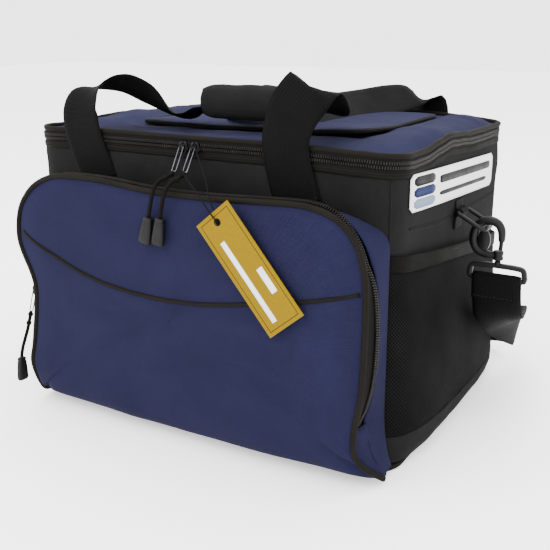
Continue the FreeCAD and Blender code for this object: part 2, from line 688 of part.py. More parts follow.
def build_grip():
    """The padded wrap between the two lengths of the front handle."""
    grip = doc.addObject("PartDesign::Body", "handle_grip")
    sketch = new_sketch(grip, "YZ_Plane", "grip_outline")
    rounded_outline(sketch, "grip_depth", "-grip_height / 2", "grip_height / 2", "11", "11")
    pad = grip.newObject("PartDesign::Pad", "grip_pad")
    pad.Profile = sketch
    pad.Length = 120
    grip.Placement = Placement(Vector(-28, -98, 316), Rotation())
    keep(grip, "handle_grip")


# ---- shoulder strap and its hardware ----

STRAP_RIGHT = [((238.5, 0, 147.7), (1, 0, 0)), ((238.5, 3, 134), (1, 0, 0)),
               ((240, 18, 104), (0.99, 0.05, 0.1)), ((243, 46, 78), (0.93, 0.1, 0.35)),
               ((245, 84, 58), (0.75, 0.15, 0.65)), ((242, 124, 43), (0.4, 0.2, 0.9)),
               ((228, 162, 34), (0.1, 0.1, 0.99)), ((198, 190, 30), (0, 0, 1)),
               ((158, 200, 28), (0, 0, 1)), ((110, 202, 28), (0, 0, 1))]


def build_shoulder_strap():
    width, thick = size("strap_width"), size("strap_thick")
    strap = webbing_solid(STRAP_RIGHT + mirror_stations(STRAP_RIGHT, 0), width, thick)
    keep(feature("shoulder_strap", strap), "shoulder_strap")
    pad = prism("shoulder_pad", [("220", "-31", "31", "22", "22")], "9", "XZ_Plane")
    keep(put(pad, 0, "212.2", "33"), "shoulder_pad")
    adjuster = block("adjuster_frame", ("120", "203.2", "0.5"), ("26", "3", "56"))
    slots = [block("adjuster_slot_%d" % k, (x, 202, 3), ("7", "6", "51"))
             for k, x in enumerate((124, 135))]
    keep(cut("strap_adjuster", adjuster, group("adjuster_slots", slots)), "strap_adjuster")
    build_hooks()


HOOK_CLAW = [(240.8, 188), (240.2, 198.5), (232.5, 206), (221.5, 204), (213.8, 193.5), (214.4, 181),
             (221, 173.4), (236, 173)]
RING_LONG_SIDE, RING_ROUND_SIDE, RING_HALF = (200.5, 213), (227, 198.6), 14
GATE_PIVOT, GATE_TIP, GATE_WIRE = (240.2, 179.2), (240.7, 187.4), 1.6


def build_hooks():
    z = size("strap_axis_high")
    wire = size("hook_wire")
    hook = tube("hook", [Vector(x, 0, h) for x, h in HOOK_CLAW], wire)
    middle = Vector(size("strap_out"), 0, size("barrel_middle"))
    barrel = drum("hook_barrel", "barrel_wire", "barrel_tall", middle, Vector(0, 0, 1))
    hook_right = fuse("hook_right", [feature("hook_claw", hook), barrel])
    keep(group("snap_hooks", [hook_right, mirrored("hook_left", hook_right)]), "snap_hooks")
    build_swivel_eyes()
    (near_x, near_z), (far_x, far_z) = RING_LONG_SIDE, RING_ROUND_SIDE
    ring = [Vector(near_x, -RING_HALF, near_z), Vector(far_x, -RING_HALF, far_z),
            Vector(far_x, RING_HALF, far_z), Vector(near_x, RING_HALF, near_z)]
    ring_solid = tube("d_ring", ring, size("ring_wire"), [2.6, 7, 7, 2.6], closed=True)
    ring_right = feature("d_ring_right", ring_solid)
    keep(group("d_rings", [ring_right, mirrored("d_ring_left", ring_right)]), "d_rings")
    build_tabs(z)
    build_gates()


def build_swivel_eyes():
    """A frame for the strap on a stem that turns in the hook's barrel."""
    left = "strap_out - eye_width / 2"
    beam = block("eye_beam", (left, "-2.5", "eye_low + 12"), ("eye_width", "5", "4"))
    bar = block("eye_bar", (left, "-2", "eye_low"), ("eye_width", "4", "4"))
    legs = [block("eye_leg_%d" % k, (x, "-2", "eye_low + 1"), ("eye_leg", "4", "12"))
            for k, x in enumerate((left, left + " + eye_width - eye_leg"))]
    stem_middle = Vector(size("strap_out"), 0, size("eye_low + 17.9"))
    stem = drum("eye_stem", "3", "4", stem_middle, Vector(0, 0, 1))
    eye = fuse("eye_right", [beam, bar, stem] + legs)
    keep(group("swivel_eyes", [eye, mirrored("eye_left", eye)]), "swivel_eyes")


def build_tabs(z):
    """Webbing loops sewn to the sides, each round the straight bar of its ring."""
    bar = Vector(RING_LONG_SIDE[0], 0, z)
    sleeve = drum("tab_sleeve", "ring_wire + 1.5", "tab_width", bar, Vector(0, 1, 0))
    tail = block("tab_tail", ("body_width / 2 + 0.7", "-tab_width / 2", "strap_axis_high - 4"),
                 ("3", "tab_width", "6"))
    bore = drum("tab_bore", "ring_wire + 0.1", "tab_width + 10", bar, Vector(0, 1, 0))
    tab = cut("tab_right", fuse("tab_body", [sleeve, tail]), bore)
    keep(group("strap_tabs", [tab, mirrored("tab_left", tab)]), "strap_tabs")


def build_gates():
    """Sprung gates that close each hook's mouth."""
    arm = tube("gate", [Vector(x, 0, z) for x, z in (GATE_PIVOT, GATE_TIP)], GATE_WIRE)
    right = keep(feature("snap_gate_right", arm), "snap_gate_right")
    keep(mirrored("snap_gate_left", right), "snap_gate_left")


# ---- build, check and write ----

def write_parts():
    doc.recompute()
    for thing in doc.Objects:
        if {"Invalid", "Error"} & set(thing.State):
            raise RuntimeError("%s failed: %s" % (thing.Name, thing.State))
    for name, piece in PIECES.items():
        shape = piece.Shape
        if shape.isNull() or not shape.isValid() or not shape.Solids:
            raise RuntimeError(name + " has no valid solid")
    os.makedirs("parts", exist_ok=True)
    for name, piece in PIECES.items():
        piece.Shape.exportStep("parts/%s.step" % name)
    print(len(PIECES), "nodes written")


build_body()
build_lid()
build_access_flap()
build_pocket()
build_side_pockets()
build_label()
build_sliders()
build_tag()
build_handles()
build_shoulder_strap()
write_parts()
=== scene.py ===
"""Insulated cooler bag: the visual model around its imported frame.

Shapes are written in millimetres and become metres where a mesh or curve is made.
"""
import bmesh
import bpy
import math
from mathutils import Matrix, Vector, kdtree, noise


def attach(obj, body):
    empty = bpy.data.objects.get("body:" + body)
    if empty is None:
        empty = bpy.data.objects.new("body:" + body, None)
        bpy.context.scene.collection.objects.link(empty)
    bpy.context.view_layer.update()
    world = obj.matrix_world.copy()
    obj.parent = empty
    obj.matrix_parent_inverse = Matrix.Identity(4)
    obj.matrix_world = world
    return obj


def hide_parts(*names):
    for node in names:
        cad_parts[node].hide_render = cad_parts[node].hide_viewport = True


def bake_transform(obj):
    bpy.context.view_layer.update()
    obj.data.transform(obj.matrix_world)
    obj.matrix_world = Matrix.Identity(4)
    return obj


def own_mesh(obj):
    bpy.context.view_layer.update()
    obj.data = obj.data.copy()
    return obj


MM = 0.001
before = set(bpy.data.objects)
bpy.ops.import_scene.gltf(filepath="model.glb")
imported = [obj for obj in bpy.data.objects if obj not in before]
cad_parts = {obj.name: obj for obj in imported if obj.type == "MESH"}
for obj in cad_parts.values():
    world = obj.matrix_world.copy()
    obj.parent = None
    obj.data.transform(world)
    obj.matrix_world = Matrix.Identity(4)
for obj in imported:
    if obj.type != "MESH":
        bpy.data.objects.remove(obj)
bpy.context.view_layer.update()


# ---- camera ----

CAMERA_PLACE, CAMERA_TARGET = Vector((0.4383, -0.7663, 0.3881)), Vector((-0.0093, 0, 0.1165))
CAMERA_LENS, CAMERA_ROLL = 54.11, math.radians(-0.39)


def build_camera():
    camera = bpy.data.objects.new("camera", bpy.data.cameras.new("camera"))
    bpy.context.scene.collection.objects.link(camera)
    camera.data.lens, camera.data.sensor_width = CAMERA_LENS, 36
    camera.data.clip_start, camera.data.clip_end = 0.01, 20
    turn = (CAMERA_TARGET - CAMERA_PLACE).to_track_quat("-Z", "Y").to_matrix()
    turn = turn @ Matrix.Rotation(CAMERA_ROLL, 3, "Z")
    camera.matrix_world = Matrix.Translation(CAMERA_PLACE) @ turn.to_4x4()
    bpy.context.scene.camera = camera


# ---- materials ----

def colour(display):
    """A linear colour from display values of 0 to 255: three of them, or one for a grey."""
    shares = [value / 255 for value in (display if isinstance(display, tuple) else (display,) * 3)]
    linear = [s / 12.92 if s <= 0.04045 else ((s + 0.055) / 1.055) ** 2.4 for s in shares]
    return (*linear, 1.0)


class Graph:
    """A material's nodes, with short ways to add and join them."""

    def __init__(self, name, roughness, **sockets):
        self.material = bpy.data.materials.new(name)
        self.material.use_nodes = True
        self.tree = self.material.node_tree
        self.shader = self.tree.nodes["Principled BSDF"]
        self.shader.inputs["Roughness"].default_value = roughness
        for key, value in sockets.items():
            self.shader.inputs[key.replace("_", " ")].default_value = value

    def add(self, kind, settings=None, **inputs):
        node = self.tree.nodes.new("ShaderNode" + kind)
        for key, value in (settings or {}).items():
            setattr(node, key, value)
        for key, value in inputs.items():
            self.join(value, node.inputs[key.replace("_", " ")])
        return node.outputs[0]

    def join(self, value, socket):
        if isinstance(value, bpy.types.NodeSocket):
            self.tree.links.new(value, socket)
        else:
            socket.default_value = value

    def place(self, kind="UV", scale=(1, 1, 1), turn=(0, 0, 0)):
        """Coordinates in metres, scaled: UV for swept and lofted pieces, Object for the others."""
        node = self.tree.nodes.new("ShaderNodeTexCoord")
        return self.add("Mapping", Vector=node.outputs[kind], Scale=scale, Rotation=turn)

    def noise(self, vector, scale, detail=3.0):
        return self.add("TexNoise", Vector=vector, Scale=scale, Detail=detail, Roughness=0.55)

    def wave(self, vector, length, along="X"):
        """Bands from 0 to 1 whose length is in metres."""
        settings = {"wave_type": "BANDS", "bands_direction": along, "wave_profile": "SIN"}
        return self.add("TexWave", settings, Vector=vector, Scale=0.31416 / length)

    def math(self, operation, first, second=0.5):
        node = self.tree.nodes.new("ShaderNodeMath")
        node.operation = operation
        self.join(first, node.inputs[0])
        self.join(second, node.inputs[1])
        return node.outputs[0]

    def blend(self, share, dark, light):
        """Two display colours mixed by a share."""
        node = self.tree.nodes.new("ShaderNodeMix")
        node.data_type = "RGBA"
        for k, value in ((0, share), (6, colour(dark)), (7, colour(light))):
            self.join(value, node.inputs[k])
        return node.outputs[2]

    def span(self, value, low, high, to_low=0.0, to_high=1.0):
        node = self.tree.nodes.new("ShaderNodeMapRange")
        for k, number in enumerate((value, low, high, to_low, to_high)):
            self.join(number, node.inputs[k])
        return node.outputs[0]

    def finish(self, base, roughness, height, depth, strength=0.5):
        """The material, coloured by base and roughened, with a relief depth metres high."""
        self.join(base, self.shader.inputs["Base Color"])
        self.join(roughness, self.shader.inputs["Roughness"])
        normal = self.add("Bump", Height=height, Strength=strength, Distance=depth)
        self.join(normal, self.shader.inputs["Normal"])
        return self.material


def cloth(name, dark, light, thread=0.9, kind="UV", depth=0.0004):
    """Plain woven cloth: crossed threads, thicker yarns here and there and slow shifts of shade."""
    graph = Graph(name, 0.86, Sheen_Weight=0.01, Sheen_Roughness=0.45, Specular_IOR_Level=0.04, IOR=1.3)
    plain = graph.place(kind)
    warp = graph.wave(plain, thread * MM, "X")
    weft = graph.wave(plain, thread * MM, "Y")
    weave = graph.math("MULTIPLY", warp, weft)
    yarn = graph.noise(graph.place(kind, (900, 55, 500)), 1.0, 2.0)
    across = graph.noise(graph.place(kind, (45, 700, 500)), 1.0, 2.0)
    yarns = graph.math("MULTIPLY", graph.math("ADD", yarn, across), 0.35)
    cloud = graph.noise(plain, 14.0, 4.0)
    share = graph.math("ADD", yarns, graph.math("MULTIPLY", cloud, 0.65))
    share = graph.span(share, 0.35, 0.95)
    share = graph.math("MULTIPLY", share, graph.span(weave, 0.0, 1.0, 0.72, 1.0))
    height = graph.math("ADD", weave, graph.math("MULTIPLY", yarns, 0.8))
    worn = graph.span(cloud, 0.3, 0.7, 0.79, 0.91)
    return graph.finish(graph.blend(share, dark, light), worn, height, depth)


def webbing(name, dark, light, rib=1.7):
    """Ribbed webbing: close ribs across the width and a herringbone of slanting yarns."""
    graph = Graph(name, 0.62, Specular_IOR_Level=0.05, IOR=1.3)
    plain = graph.place()
    ribs = graph.wave(plain, rib * MM, "X")
    lanes = graph.wave(plain, 2.6 * MM, "Y")
    slant = graph.wave(graph.place(turn=(0, 0, 0.6)), 1.1 * MM, "X")
    height = graph.math("ADD", graph.math("MULTIPLY", ribs, 0.5), graph.math("MULTIPLY", lanes, 0.5))
    height = graph.math("ADD", height, graph.math("MULTIPLY", slant, 0.4))
    cloud = graph.noise(plain, 22.0, 4.0)
    fuzz = graph.noise(plain, 900.0, 2.0)
    share = graph.math("MULTIPLY", graph.span(height, 0.2, 1.3), graph.span(cloud, 0.3, 0.75, 0.45, 1.0))
    share = graph.math("MULTIPLY", share, graph.span(fuzz, 0.3, 0.7, 0.7, 1.0))
    worn = graph.span(cloud, 0.3, 0.7, 0.54, 0.72)
    return graph.finish(graph.blend(share, dark, light), worn, height, 0.0006, 0.6)


def braid(name, dark, light, length=1.9):
    """Folded binding or braided cord: two families of slanting yarns."""
    graph = Graph(name, 0.66, Specular_IOR_Level=0.06, IOR=1.3)
    one = graph.wave(graph.place(turn=(0, 0, 0.75)), length * MM)
    two = graph.wave(graph.place(turn=(0, 0, -0.75)), length * MM)
    yarns = graph.math("MAXIMUM", one, two)
    cloud = graph.noise(graph.place(), 30.0, 3.0)
    share = graph.math("MULTIPLY", yarns, graph.span(cloud, 0.3, 0.7, 0.55, 1.0))
    worn = graph.span(yarns, 0, 1, 0.78, 0.60)
    return graph.finish(graph.blend(share, dark, light), worn, yarns, 0.0004, 0.6)


def moulded(name, dark, light, rough=0.4, grain=700.0, metallic=0.0, depth=0.00015):
    """Moulded plastic, rubber or enamelled metal: fine grain, faint mottling and rubbed patches."""
    graph = Graph(name, rough, Metallic=metallic, Specular_IOR_Level=0.14)
    plain = graph.place("Object")
    fine = graph.noise(plain, grain, 3.0)
    cloud = graph.noise(plain, 60.0, 4.0)
    share = graph.math("MULTIPLY", graph.span(cloud, 0.3, 0.75), graph.span(fine, 0.2, 0.8, 0.6, 1.0))
    worn = graph.span(cloud, 0.25, 0.75, rough - 0.1, rough + 0.14)
    return graph.finish(graph.blend(share, dark, light), worn, fine, depth, 0.4)


def net(name):
    """Open polyester net: a slanting lattice of yarns round holes painted near-black, the black wall behind
    them with painted shade from inside the pocket.
    """
    graph = Graph(name, 0.7, Specular_IOR_Level=0.03, IOR=1.25)
    one = graph.wave(graph.place(turn=(0, 0, 0.7)), 2.2 * MM)
    two = graph.wave(graph.place(turn=(0, 0, -0.7)), 2.2 * MM)
    yarns = graph.span(graph.math("MAXIMUM", one, two), 0.45, 1.0)
    cloud = graph.noise(graph.place(), 18.0, 3.0)
    share = graph.math("MULTIPLY", yarns, graph.span(cloud, 0.3, 0.7, 0.35, 1.0))
    # The holes' near-black is painted shade over the black wall seen through them; the yarns are the net's
    # own black.
    return graph.finish(graph.blend(share, 4, 26), 0.7, yarns, 0.0007, 0.8)


def card(name, base, worn):
    """Printed card: smooth with a faint fleck and a slightly worn finish."""
    graph = Graph(name, 0.5, Specular_IOR_Level=0.05)
    fleck = graph.noise(graph.place("Object"), 900.0, 2.0)
    cloud = graph.noise(graph.place("Object"), 40.0, 3.0)
    share = graph.math("MULTIPLY", graph.span(fleck, 0.45, 0.75), graph.span(cloud, 0.3, 0.7, 0.3, 0.9))
    rubbed = graph.span(cloud, 0.3, 0.7, 0.42, 0.6)
    return graph.finish(graph.blend(share, base, worn), rubbed, fleck, 0.00008, 0.3)


SKINS = {
    "navy": cloth("navy_cloth", (18, 18, 36), (30, 30, 53)),
    # The lid's cloth is the pocket's navy cloth painted a little lighter: painted light on the lid and flap
    # tops, which face the lights.
    "lid": cloth("lid_cloth_painted_lit", (20, 21, 38), (32, 33, 57)),
    "black": cloth("black_cloth", 14, 30, thread=0.8),
    "padding": cloth("padding_cloth", 14, 28, thread=1.2, kind="Object"),
    "webbing": webbing("black_webbing", 7, 20),
    "binding": braid("grey_binding", (9, 8, 7), (25, 23, 20)),
    "hem": webbing("hem_binding", (8, 8, 7), (19, 18, 17), rib=1.3),
    "tape": webbing("zip_tape", (10, 10, 9), (28, 27, 25), rib=0.9),
    "teeth": moulded("zip_teeth", (11, 10, 9), (33, 31, 27)),
    "net": net("black_net_shaded_holes"),
    "cord": braid("braided_cord", (7, 7, 6), (20, 19, 17), length=1.2),
    "string": braid("tag_string", 8, (22, 22, 21), length=0.8),
    "rubber": moulded("grey_rubber", 6, 13, rough=0.55, grain=500.0),
    "metal": moulded("black_metal", (12, 12, 13), (26, 26, 28), rough=0.3, metallic=0.6),
    "bright_metal": moulded("dark_steel", (60, 60, 64), (110, 110, 116), rough=0.25, metallic=0.9),
    "plastic": moulded("black_plastic", (8, 8, 9), (19, 19, 20)),
    "foam": moulded("foam", (150, 150, 146), (176, 176, 172), rough=0.9, grain=350.0, depth=0.0004),
    "liner": moulded("liner_film", (110, 112, 114), (138, 140, 142), rough=0.35, grain=60.0, depth=0.0008),
    "board": moulded("base_board", 14, 28, rough=0.8, grain=400.0),
    "gold": card("gold_card", (104, 82, 0), (118, 94, 2)),
    "ink": card("dark_ink", (22, 19, 10), (36, 32, 20)),
    "white": card("white_print", 206, 218),
    "grey_ink": card("grey_ink", 14, (24, 24, 25)),
    "blue_ink": card("blue_ink", (14, 24, 60), (22, 34, 74)),
    "pale_ink": card("pale_ink", (100, 112, 132), (116, 128, 148)),
    "thread": moulded("sewing_thread", 18, (38, 38, 36), rough=0.7),
    "hook_tape": cloth("hook_and_loop", 8, 24, thread=1.6, kind="Object", depth=0.0009),
}


# ---- meshes ----

def link(piece, body=None, nodes=()):
    """Give a finished piece its body and the CAD nodes that it stands for."""
    if piece.name not in bpy.context.scene.collection.objects:
        bpy.context.scene.collection.objects.link(piece)
    if body:
        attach(piece, body)
    if nodes:
        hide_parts(*nodes)
    return piece


def mesh_piece(name, points, faces, skin, uvs=()):
    """A mesh object from millimetre points, with one UV per face corner."""
    mesh = bpy.data.meshes.new(name)
    mesh.from_pydata([Vector(p) * MM for p in points], [], faces)
    if uvs:
        layer = mesh.uv_layers.new(name="UVMap")
        for loop, uv in zip(layer.data, uvs):
            loop.uv = uv
    mesh.polygons.foreach_set("use_smooth", [True] * len(mesh.polygons))
    mesh.materials.append(SKINS[skin])
    tidy = bmesh.new()
    tidy.from_mesh(mesh)
    bmesh.ops.recalc_face_normals(tidy, faces=tidy.faces)
    tidy.to_mesh(mesh)
    tidy.free()
    return bpy.data.objects.new(name, mesh)


def distances(line, wrap):
    """How far along a line of points each one lies, in metres, with the way back if it is closed."""
    ends = list(line) + ([line[0]] if wrap else [])
    total, found = 0.0, [0.0]
    for here, there in zip(ends, ends[1:]):
        total += (Vector(there) - Vector(here)).length * MM
        found.append(total)
    return found


def lofted(name, rows, skin, wrap_rows=False, wrap_columns=False, cap=False):
    """A surface through rows of points. UVs are metres along the rows and across them."""
    count, across = len(rows), len(rows[0])
    middle = across // 2
    along = distances([row[middle] for row in rows], wrap_rows)
    side = distances(rows[count // 2], wrap_columns)
    faces, uvs = [], []
    for i in range(count if wrap_rows else count - 1):
        for j in range(across if wrap_columns else across - 1):
            below, right = (i + 1) % count, (j + 1) % across
            faces.append((i * across + j, below * across + j, below * across + right, i * across + right))
            uvs += [(along[i], side[j]), (along[i + 1], side[j]), (along[i + 1], side[j + 1]),
                    (along[i], side[j + 1])]
    if cap:
        for start in (0, (count - 1) * across):
            faces.append(tuple(range(start, start + across)))
            uvs += [(side[j], 0.0) for j in range(across)]
    return mesh_piece(name, [p for row in rows for p in row], faces, skin, uvs)


def capped(name, rings, skin):
    """A closed solid through rings of points, with a face at each end."""
    return lofted(name, rings, skin, wrap_columns=True, cap=True)


def endless(name, rings, skin):
    """A closed skin through rings of points, the last of which meets the first."""
    return lofted(name, rings, skin, wrap_rows=True, wrap_columns=True)


def there_and_back(cells):
    """Shares of the way across a thin strip: over its face (0), then back over its other face (1)."""
    return ([(0, j / cells) for j in range(cells + 1)]
            + [(1, (cells - j) / cells) for j in range(cells + 1)])


def turn_angles(count, start=0.0):
    """Even angles round a full turn. start is a share of one step."""
    return [2 * math.pi * (j + start) / count for j in range(count)]


def squared(angle, power):
    """A place on a unit circle swelled towards a square."""
    c, s = math.cos(angle), math.sin(angle)
    reach = (abs(c) ** power + abs(s) ** power) ** (-1 / power)
    return c * reach, s * reach


def turned(name, profile, middle, skin, sides):
    """An upright turned solid from (radius, height) pairs."""
    rings = [[Vector((middle + r * math.cos(a), r * math.sin(a), z)) for a in turn_angles(sides)]
             for r, z in profile]
    return capped(name, rings, skin)


def curved(points, spacing=5.0, closed=False):
    """Points along a smooth curve through the given ones. They may carry more than three numbers."""
    points = [Vector(p) for p in points]
    count = len(points)
    found = []
    for k in range(count if closed else count - 1):
        here, there = points[k], points[(k + 1) % count]
        before = points[k - 1] if closed or k else here * 2 - there
        after = points[(k + 2) % count] if closed or k < count - 2 else there * 2 - here
        steps = max(1, round((Vector(there[:3]) - Vector(here[:3])).length / spacing))
        for step in range(steps):
            t = step / steps
            found.append(0.5 * (here * 2 + (there - before) * t
                                + (before * 2 - here * 5 + there * 4 - after) * t * t
                                + (here * 3 - before - there * 3 + after) * t * t * t))
    if not closed:
        found.append(points[-1])
    return found


def eased(value, low, high):
    """0 below low, 1 above high, smooth between."""
    t = min(1.0, max(0.0, (value - low) / (high - low)))
    return t * t * (3 - 2 * t)


def table_value(table, at):
    """A smooth curve through (place, value) pairs, held at its ends."""
    if at <= table[0][0]:
        return table[0][1]
    for (low, first), (high, last) in zip(table, table[1:]):
        if at <= high:
            return first + (last - first) * eased(at, low, high)
    return table[-1][1]


def wrinkle(place, size, stretch=(1, 1, 1), seed=0.0):
    """Soft folds from -1 to 1 whose usual length is size."""
    x, y, z = (c * s / size for c, s in zip(place, stretch))
    return noise.noise(Vector((x + seed, y - seed, z + 0.37 * seed)))


def crease(place, size, stretch=(1, 1, 1), seed=0.0):
    """Sharp-backed folds from 0 to 1."""
    return (1 - abs(wrinkle(place, size, stretch, seed)) * 2.2) ** 2


def tangents(line, closed):
    count = len(line)
    found = []
    for k in range(count):
        ahead = line[(k + 1) % count] if closed else line[min(k + 1, count - 1)]
        behind = line[k - 1] if closed else line[max(k - 1, 0)]
        found.append((Vector(ahead) - Vector(behind)).normalized())
    return found


def tube(name, line, radius, skin, sides=12, closed=False):
    """A round tube along a line of points. radius is a number or a function of the share of length."""
    line = [Vector(p[:3]) for p in line]
    ways = tangents(line, closed)
    side = ways[0].orthogonal().normalized()
    if abs(ways[0].z) < 0.9:
        side = ways[0].cross(Vector((0, 0, 1))).normalized()
    rows = []
    for k, (middle, way) in enumerate(zip(line, ways)):
        side = (side - way * side.dot(way)).normalized()
        up = way.cross(side)
        size = radius(k / (len(line) - 1)) if callable(radius) else radius
        rows.append([middle + (side * math.cos(a) + up * math.sin(a)) * size for a in turn_angles(sides)])
    return lofted(name, rows, skin, wrap_rows=closed, wrap_columns=True, cap=not closed)


def ribbon(name, stations, width, thick, spacing, crown=0.0, cells=10):
    """Flat webbing with rounded edges through stations of (middle, direction of width)."""
    line = curved([tuple(m) + tuple(a) for m, a in stations], spacing)
    ways = tangents([p[:3] for p in line], False)
    rows = []
    for point, way in zip(line, ways):
        across = Vector(point[3:6])
        across = (across - way * across.dot(way)).normalized()
        face = way.cross(across)
        row = []
        for lip in (1, -1):
            for j in range(cells + 1):
                a = (j / cells * 2 - 1) * lip
                edge = min(1.0, (1 - abs(a)) * width / 2 / (thick / 2) + 0.25)
                lift = crown * (1 - a * a)
                row.append(Vector(point[:3]) + across * (a * width / 2)
                           + face * (lip * thick / 2 * edge + lift))
        rows.append(row)
    return capped(name, rows, "webbing")


def joined(name, members):
    """Several new mesh objects as one piece that keeps their materials."""
    mesh = bpy.data.meshes.new(name)
    whole = bmesh.new()
    whole.loops.layers.uv.new("UVMap")
    skins = []
    for member in members:
        for skin in member.data.materials:
            if skin not in skins:
                skins.append(skin)
        before = len(whole.faces)
        whole.from_mesh(member.data)
        whole.faces.ensure_lookup_table()
        own = list(member.data.materials)
        for face in whole.faces[before:]:
            face.material_index = skins.index(own[face.material_index])
    whole.to_mesh(mesh)
    whole.free()
    for skin in skins:
        mesh.materials.append(skin)
    for member in members:
        old = member.data
        bpy.data.objects.remove(member)
        bpy.data.meshes.remove(old)
    return bpy.data.objects.new(name, mesh)


def beads(name, places, skin, half):
    """Many small rounded blocks: places hold (middle, along, out), half sizes are along, up and out."""
    points, faces = [], []
    ring = [(-1, -0.6), (-0.6, -1), (0.6, -1), (1, -0.6), (1, 0.6), (0.6, 1), (-0.6, 1), (-1, 0.6)]
    for middle, along, out in places:
        up = along.cross(out).normalized()
        start = len(points)
        for depth, share in ((-1, 0.75), (1, 0.75), (1.25, 0.4)):
            points += [middle + along * (a * half[0] * share) + up * (b * half[1] * share)
                       + out * (depth * half[2]) for a, b in ring]
        for low in (start, start + 8):
            for j in range(8):
                after = (j + 1) % 8
                faces.append((low + j, low + after, low + 8 + after, low + 8 + j))
        faces.append(tuple(range(start + 7, start - 1, -1)))
        faces.append(tuple(range(start + 16, start + 24)))
    return mesh_piece(name, points, faces, skin)


def even(line, pitch):
    """Places at an even pitch along a line, with the direction of travel at each."""
    found, carried = [], 0.0
    for here, there in zip(line, line[1:]):
        here, there = Vector(here[:3]), Vector(there[:3])
        step = there - here
        long = step.length
        while carried < long:
            found.append((here + step * (carried / long), step.normalized()))
            carried += pitch
        carried -= long
    return found


STITCH_PITCH, STITCH_HALF = 4.0, (1.3, 0.32, 0.22)


def stitches(name, line, faced):
    """A row of thread stitches on a surface that faces one way."""
    places = []
    for middle, along in even(line, STITCH_PITCH):
        out = Vector(faced).normalized()
        out = (out - along * out.dot(along)).normalized()
        places.append((middle, along, out))
    return beads(name, places, "thread", STITCH_HALF)


# ---- cords, laid along the routes of the frame's tubes ----

LEFT_PULL_ROUTE = [(-7.9, -180.8, 260.7), (-9.6, -189, 256.8), (-10.7, -196.7, 256.4), (-11.6, -203.6, 252),
                   (-13.4, -206.2, 243), (-15.6, -206.4, 233), (-17.6, -206.4, 224.5)]
RIGHT_PULL_ROUTE = [(4.1, -180.6, 260.8), (3.5, -189, 256.9), (3.1, -196.8, 256.5), (1.6, -203.7, 252.2),
                    (-0.9, -206.3, 243.2), (-3.2, -206.4, 233.4), (-4.9, -206.4, 224.9)]
POCKET_PULL_ROUTE = [(-196.8, -187.7, 98.7), (-198.2, -189.6, 90), (-199, -192.6, 80), (-200.6, -196.4, 69.5),
                     (-202.4, -199.4, 60), (-203, -200.9, 51.5)]
TAG_STRING_ROUTE = [(-1.4, -161.4, 283), (-4.4, -163.6, 280), (-5.6, -168.8, 273), (-2.6, -176.4, 267.4),
                    (4.9, -184.9, 263.8), (17.4, -194, 257.2), (30.2, -202.6, 252.6), (43, -208.4, 243),
                    (52.6, -210.2, 233.6), (57, -209.6, 229), (58, -206.4, 228.8), (54.6, -205.2, 234),
                    (48.2, -205, 242), (44.2, -202.8, 251.4), (36.6, -193.6, 258.4), (22.4, -179, 266),
                    (9.4, -167.4, 275), (5, -163.4, 281), (2.8, -161.4, 283)]
PULL_CORD, TAG_STRING = 1.8, 0.6
# Each pull's wire from top to foot, its width's direction, its cord, its end's lean and its cord's length.
PULLS = {
    "lid_pull_left": ((-12.2, -161.6, 280.5), (-8, -180, 261.5), (1, 0, 0), LEFT_PULL_ROUTE,
                      (-0.25, 0, -1), 0.053),
    "lid_pull_right": ((0.7, -161.6, 280.5), (4, -180, 261.5), (1, 0, 0), RIGHT_PULL_ROUTE,
                       (-0.16, 0, -1), 0.053),
    "pocket_pull": ((-190.4, -185.5, 124), (-196.5, -187.5, 99.5), (0, 1, 0), POCKET_PULL_ROUTE,
                    (0, -0.04, -1), 0.050),
}
# A pull's rubber end: distance down, half width and half depth.
PULL_END = [(0, 2.2, 2.0), (0.15, 3.6, 2.5), (0.8, 4.1, 2.8), (2.2, 4.3, 2.8), (2.6, 4.0, 2.55),
            (3.4, 4.0, 2.5), (3.8, 4.4, 2.75), (10, 5.2, 2.8), (18, 5.9, 2.8), (22, 6.1, 2.75),
            (24, 5.8, 2.6), (25, 4.9, 2.1), (25.3, 3.0, 1.2)]


def cord_curve(name, route, radius, skin):
    curve = bpy.data.curves.new(name, "CURVE")
    curve.dimensions = "3D"
    spline = curve.splines.new("NURBS")
    spline.points.add(len(route) - 1)
    for point, place in zip(spline.points, route):
        point.co = (*(c * MM for c in place), 1)
    spline.order_u = 3
    spline.use_endpoint_u = True
    spline.resolution_u = 12
    curve.bevel_depth = radius * MM
    curve.bevel_resolution = 3
    curve.use_fill_caps = True
    curve.materials.append(SKINS[skin])
    return bpy.data.objects.new(name, curve)


def pull_end(name, top, lean, across):
    """A moulded rubber end: a tapered lozenge with a collar at its top and a rounded foot."""
    lean = Vector(lean).normalized()
    side = Vector(across)
    side = (side - lean * side.dot(lean)).normalized()
    front = lean.cross(side)
    start = Vector(top) + lean * 0.7
    ring = [squared(a, 5) for a in turn_angles(28)]
    rows = [[start + lean * down + side * (c * wide) + front * (s * deep) for c, s in ring]
            for down, wide, deep in PULL_END]
    return capped(name, rows, "rubber")


def pull_wire(name, top, low, across):
    """A flat loop of bent wire."""
    top, low = Vector(top), Vector(low)
    hang = (low - top).normalized()
    side = Vector(across)
    side = (side - hang * side.dot(hang)).normalized() * 2.2
    ends = []
    for middle, way in ((top, 1), (low, -1)):
        for share in (-1, -0.85, 0, 0.85, 1):
            sink = 0.0 if abs(share) < 1 else 1.2
            ends.append(middle + side * (share * way) + hang * (sink * way))
    return tube(name, curved(ends, 1.5, closed=True), 0.6, "bright_metal", 8, closed=True)


def knot_radius(share):
    return 1.9 + 0.9 * math.sin(math.pi * share)


